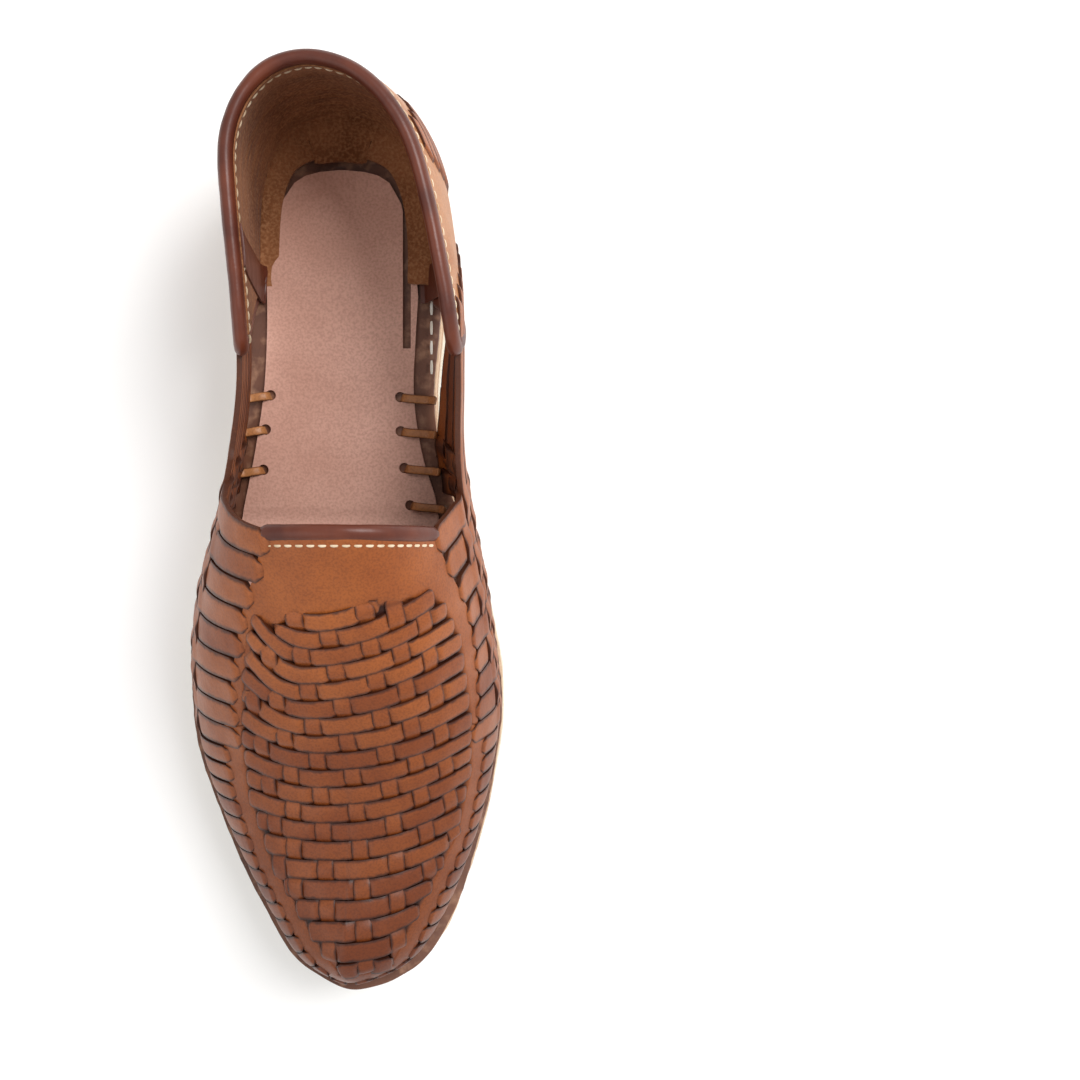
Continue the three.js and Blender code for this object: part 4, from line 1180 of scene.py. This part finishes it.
def stitch_row(name, places, normals, pitch, length, width, lift):
    """Short raised stitches in a row along a path."""
    run = run_of(places)
    made = []
    count = int(run[-1] / pitch)
    for k in range(count):
        at = (k + 0.5) * run[-1] / count + np.linspace(-length / 2, length / 2, 7)
        spots = np.stack([np.interp(at, run, places[:, c]) for c in range(3)], 1)
        way = unit(np.stack([np.interp(at, run, normals[:, c]) for c in range(3)], 1))
        arch = np.sin(np.pi * np.linspace(0, 1, 7)) ** 0.6
        widths, lifts = width * (0.6 + 0.4 * arch), lift + 0.32 * mm * arch
        made.append(lay_strip("stitch", spots, way, widths, lifts, columns=2, crowned=0.15 * mm))
    whole = joined(made, name)
    finish_with(whole, "SOLIDIFY", thickness=0.45 * mm, offset=-1)
    smooth_edges(whole, 80)
    return whole


def thread(name, base, shade):
    """Waxed thread: fine twist, a little soiled."""
    material, link, shader, add, vector = nodes_for(name)
    soil = noise_on(link, add, vector, 160, 3)
    fibre = noise_on(link, add, vector, 2600, 2)
    tint = blend_colours(link, add, spread(link, add, soil, 0.35, 0.7), base, shade)
    link(tint, shader.inputs["Base Color"])
    shader.inputs["Roughness"].default_value = 0.8
    raise_relief(link, add, shader, (fibre, 0.5, 0.1 * mm))
    return material


cream_thread = thread("cream_thread", (0.75, 0.62, 0.45), (0.5, 0.36, 0.22))
white_thread = thread("white_thread", (0.85, 0.82, 0.76), (0.6, 0.52, 0.42))

collar_half_thick, collar_half_deep = 2.1 * mm, 2.9 * mm
throat_half_thick, throat_half_deep = 2.0 * mm, 2.3 * mm
outer, outer_normals = counter_places(0.0, around, high)
inner, _ = counter_places(-wall_thickness, around, high)
middle = (outer + inner) / 2
edge_places = np.concatenate((middle[:, 0], middle[-1, 1:-1], middle[::-1, -1]))
edge_normals = np.concatenate((outer_normals[:, 0], outer_normals[-1, 1:-1], outer_normals[::-1, -1]))
run = run_of(edge_places)
steps = np.linspace(1 * mm, run[-1] - 1 * mm, 320)
edge_places = even(np.stack([np.interp(steps, run, edge_places[:, c]) for c in range(3)], 1), 4)
edge_normals = np.stack([np.interp(steps, run, edge_normals[:, c]) for c in range(3)], 1)
from_collar = np.clip((edge_places[:, 2] - 60 * mm) / (10 * mm), 0, 1)
beyond = unit(np.cross(unit(np.gradient(edge_places, axis=0)), edge_normals))
beyond = beyond * np.where((beyond[:, 2] + (beyond[:, 1] > 0) * (from_collar < 1)) > 0, 1, -1)[:, None]
edge_places = edge_places + beyond * (0.2 + 0.9 * from_collar)[:, None] * mm
collar = rolled("collar_roll", edge_places, edge_normals, collar_half_thick, collar_half_deep)
dress(collar, dark_leather, "binding", "collar_binding")

throat_x = np.linspace(10.5, -36.5, 60) * mm
throat_places, throat_normals = seen_from_above(throat_x, np.full(60, throat_along))
throat_run = throat_places - throat_normals * 1.0 * mm + np.array((0, -1.3 * mm, 0))
throat = rolled("throat_roll", throat_run, throat_normals, throat_half_thick, throat_half_deep)
dress(throat, dark_leather, "binding", "throat_binding")

thread_width, stitch_pitch, stitch_length = 0.75 * mm, 3.4 * mm, 2.5 * mm
sewn_at = seen_from_above(np.linspace(9, -35, 80) * mm, np.full(80, throat_along + 1.7 * mm))
sewn = [stitch_row("throat_stitches", *sewn_at, 3.0 * mm, 2.3 * mm, thread_width, 0.0)]
collar_top = counter_places(0.0, around, 60)
for row, lift, flip in ((-5, 0.0, 1), (-6, wall_thickness + 1.4 * mm, -1)):
    spots, way = collar_top[0][row], collar_top[1][row] * flip
    sewn.append(stitch_row("collar_stitches", spots, way, stitch_pitch, stitch_length, thread_width, lift))
for column_at in (2, -3):
    spots, way = collar_top[0][2:-6, column_at], collar_top[1][2:-6, column_at]
    sewn.append(stitch_row("front_stitches", spots, way, stitch_pitch, stitch_length, thread_width, 0.0))
sewn = joined(sewn, "binding_stitches")
dress(sewn, cream_thread, "binding")


# Insole sock.
# A tongue of pinkish tan leather lies on the board from heel to toe, with a slot along each side of
# the heel and a row of punched holes at the waist.
sock_inset = 5.8 * mm
slot_width = 2.6 * mm
hole_diameter = 3.4 * mm
# side, across, along
holes = (
    (1, 0.228, 0.345), (1, 0.246, 0.383), (1, 0.258, 0.428),
    (-1, 0.182, 0.347), (-1, 0.182, 0.385), (-1, 0.191, 0.426), (-1, 0.207, 0.468),
)
# side, across, both ends along
slots = ((1, 0.252, 0.235, 0.293), (-1, 0.204, 0.11, 0.293))
# along, lateral edge, medial edge
sock_rows = np.array([
    (0.094, 0.01, 0.01), (0.096, 0.07, 0.07), (0.1, 0.115, 0.115),
    (0.108, 0.15, 0.15), (0.13, 0.192, 0.185), (0.18, 0.22, 0.222),
    (0.30, 0.30, 0.262), (0.40, 0.318, 0.262), (0.50, 0.36, 0.305),
])


def sock_edge(y, side):
    free = np.interp(y / sole_length, sock_rows[:, 0], sock_rows[:, 1 if side > 0 else 2]) * ball_width
    low, high = np.zeros(len(y)), np.full(len(y), float(last_row))
    for _ in range(26):
        middle = (low + high) / 2
        below = along_at(side, middle) < y
        low, high = np.where(below, middle, low), np.where(below, high, middle)
    inset = column(plan[:, 3], plan[:, 4], side, low) * ball_width + sock_inset
    limit = np.abs(edge(side, low, inset)[0])
    return np.where(y > 0.5 * sole_length, limit, np.minimum(free, limit))


stations, columns_across = 150, 16
share = np.linspace(0, 1, stations + 1)
round_end, straight = 0.094 + 0.05 * (share / 0.2) ** 2, 0.144 + (share - 0.2) / 0.8 * 0.776
y = sole_length * np.where(share < 0.2, round_end, straight)
lateral, medial = sock_edge(y, 1), -sock_edge(y, -1)
across_share = np.linspace(0, 1, columns_across + 1)[None, :]
x = medial[:, None] * (1 - across_share) + lateral[:, None] * across_share
x_all, y_all = x.ravel(), np.repeat(y, columns_across + 1)
waves = 0.25 * mm * soft_noise(np.stack((x_all, y_all, 0 * x_all), 1), 60 * mm, 5)
z_all = board_top(y_all) + seam + sock_thickness + waves
sock = new_grid("insole_sock_leather", stations, columns_across)
set_places(sock, np.stack((x_all, y_all, z_all), 1))
finish_with(sock, "SOLIDIFY", thickness=sock_thickness, offset=-1)
cutters = []
for side, across, along in holes:
    high_at = board_top(along * sole_length)
    spot = (side * across * ball_width + frame_across, (along - 0.5) * sole_length, high_at)
    bpy.ops.mesh.primitive_cylinder_add(vertices=24, radius=hole_diameter / 2, depth=12 * mm, location=spot)
    cutters.append(bpy.context.object)
for side, across, first, last in slots:
    middle = (first + last) / 2
    high_at = board_top(middle * sole_length)
    spot = (side * across * ball_width + frame_across, (middle - 0.5) * sole_length, high_at)
    bpy.ops.mesh.primitive_cube_add(size=1, location=spot)
    bpy.context.object.scale = (slot_width, (last - first) * sole_length, 14 * mm)
    cutters.append(bpy.context.object)
cutter = joined(cutters, "sock_cutter")
finish_with(sock, "BOOLEAN", object=cutter, operation="DIFFERENCE", solver="EXACT")
bpy.data.objects.remove(cutter, do_unlink=True)
smooth_edges(sock, 30)
pink, link, shader, add, vector = nodes_for("pink_sock_leather")
cloud = noise_on(link, add, vector, 26, 4)
speck = noise_on(link, add, vector, 1250, 3)
pink_tan, worn_pink, dark_speck = (0.74, 0.43, 0.34), (0.6, 0.32, 0.24), (0.4, 0.2, 0.145)
tint = blend_colours(link, add, spread(link, add, cloud, 0.3, 0.7), pink_tan, worn_pink)
tint = blend_colours(link, add, spread(link, add, speck, 0.4, 0.65, 0, 0.45), tint, dark_speck)
link(tint, shader.inputs["Base Color"])
shader.inputs["Roughness"].default_value = 0.62
raise_relief(link, add, shader, (speck, 0.45, 0.15 * mm))
dress(sock, pink, "sock", "insole_sock")

# across and both ends along of the white stitches on the board, beside the sock
sole_seams = []
for across, first, last in ((0.298, 0.24, 0.305), (-0.282, 0.215, 0.325)):
    y = np.linspace(first, last, 20) * sole_length
    spots = np.stack((0 * y + across * ball_width, y, board_top(y) + seam + sock_thickness), 1)
    way = np.tile((0, 0, 1.0), (20, 1))
    sole_seams.append(stitch_row("sole_seam", spots, way, 5.6 * mm, 4.4 * mm, 0.9 * mm, 0.15 * mm))
dress(joined(sole_seams, "insole_stitches"), white_thread, "sock")

# Thongs.
# Soft laces of the raw leather come up through the punched holes and lead a short way out toward the side
# straps.
lace_width, lace_thickness = 3.0 * mm, 1.3 * mm
lace_steps = np.linspace(0, 1, 24)
lace_reach = (0, 0.12, 0.4, 0.75, 1)
lace_rise = np.interp(lace_steps, lace_reach, (-2.5, 0.6, 1.6, 1.7, 4.5)) * mm
for i, (side, across, along) in enumerate(holes):
    name = f"thong_lateral_{i + 1}" if side > 0 else f"thong_medial_{i - 2}"
    length = 11.5 if side < 0 else 8.5
    x = np.interp(lace_steps, lace_reach, (0, 0.6, 3, length - 2, length)) * side * mm
    x = x + side * across * ball_width
    y = along * sole_length + 1.6 * mm * lace_steps
    spots = np.stack((x, y, board_top(y) + seam + sock_thickness + even(lace_rise, 2)), 1)
    way = np.tile((0, 0, 1.0), (24, 1))
    lace = lay_strip(name + "_lace", spots, way, lace_width, 0.0, 0.2, crowned=0.3 * mm)
    cut_leather([lace], name + "_lace", lace_thickness, 0.25 * mm)
    dress(lace, counter_leather, "weave", name)
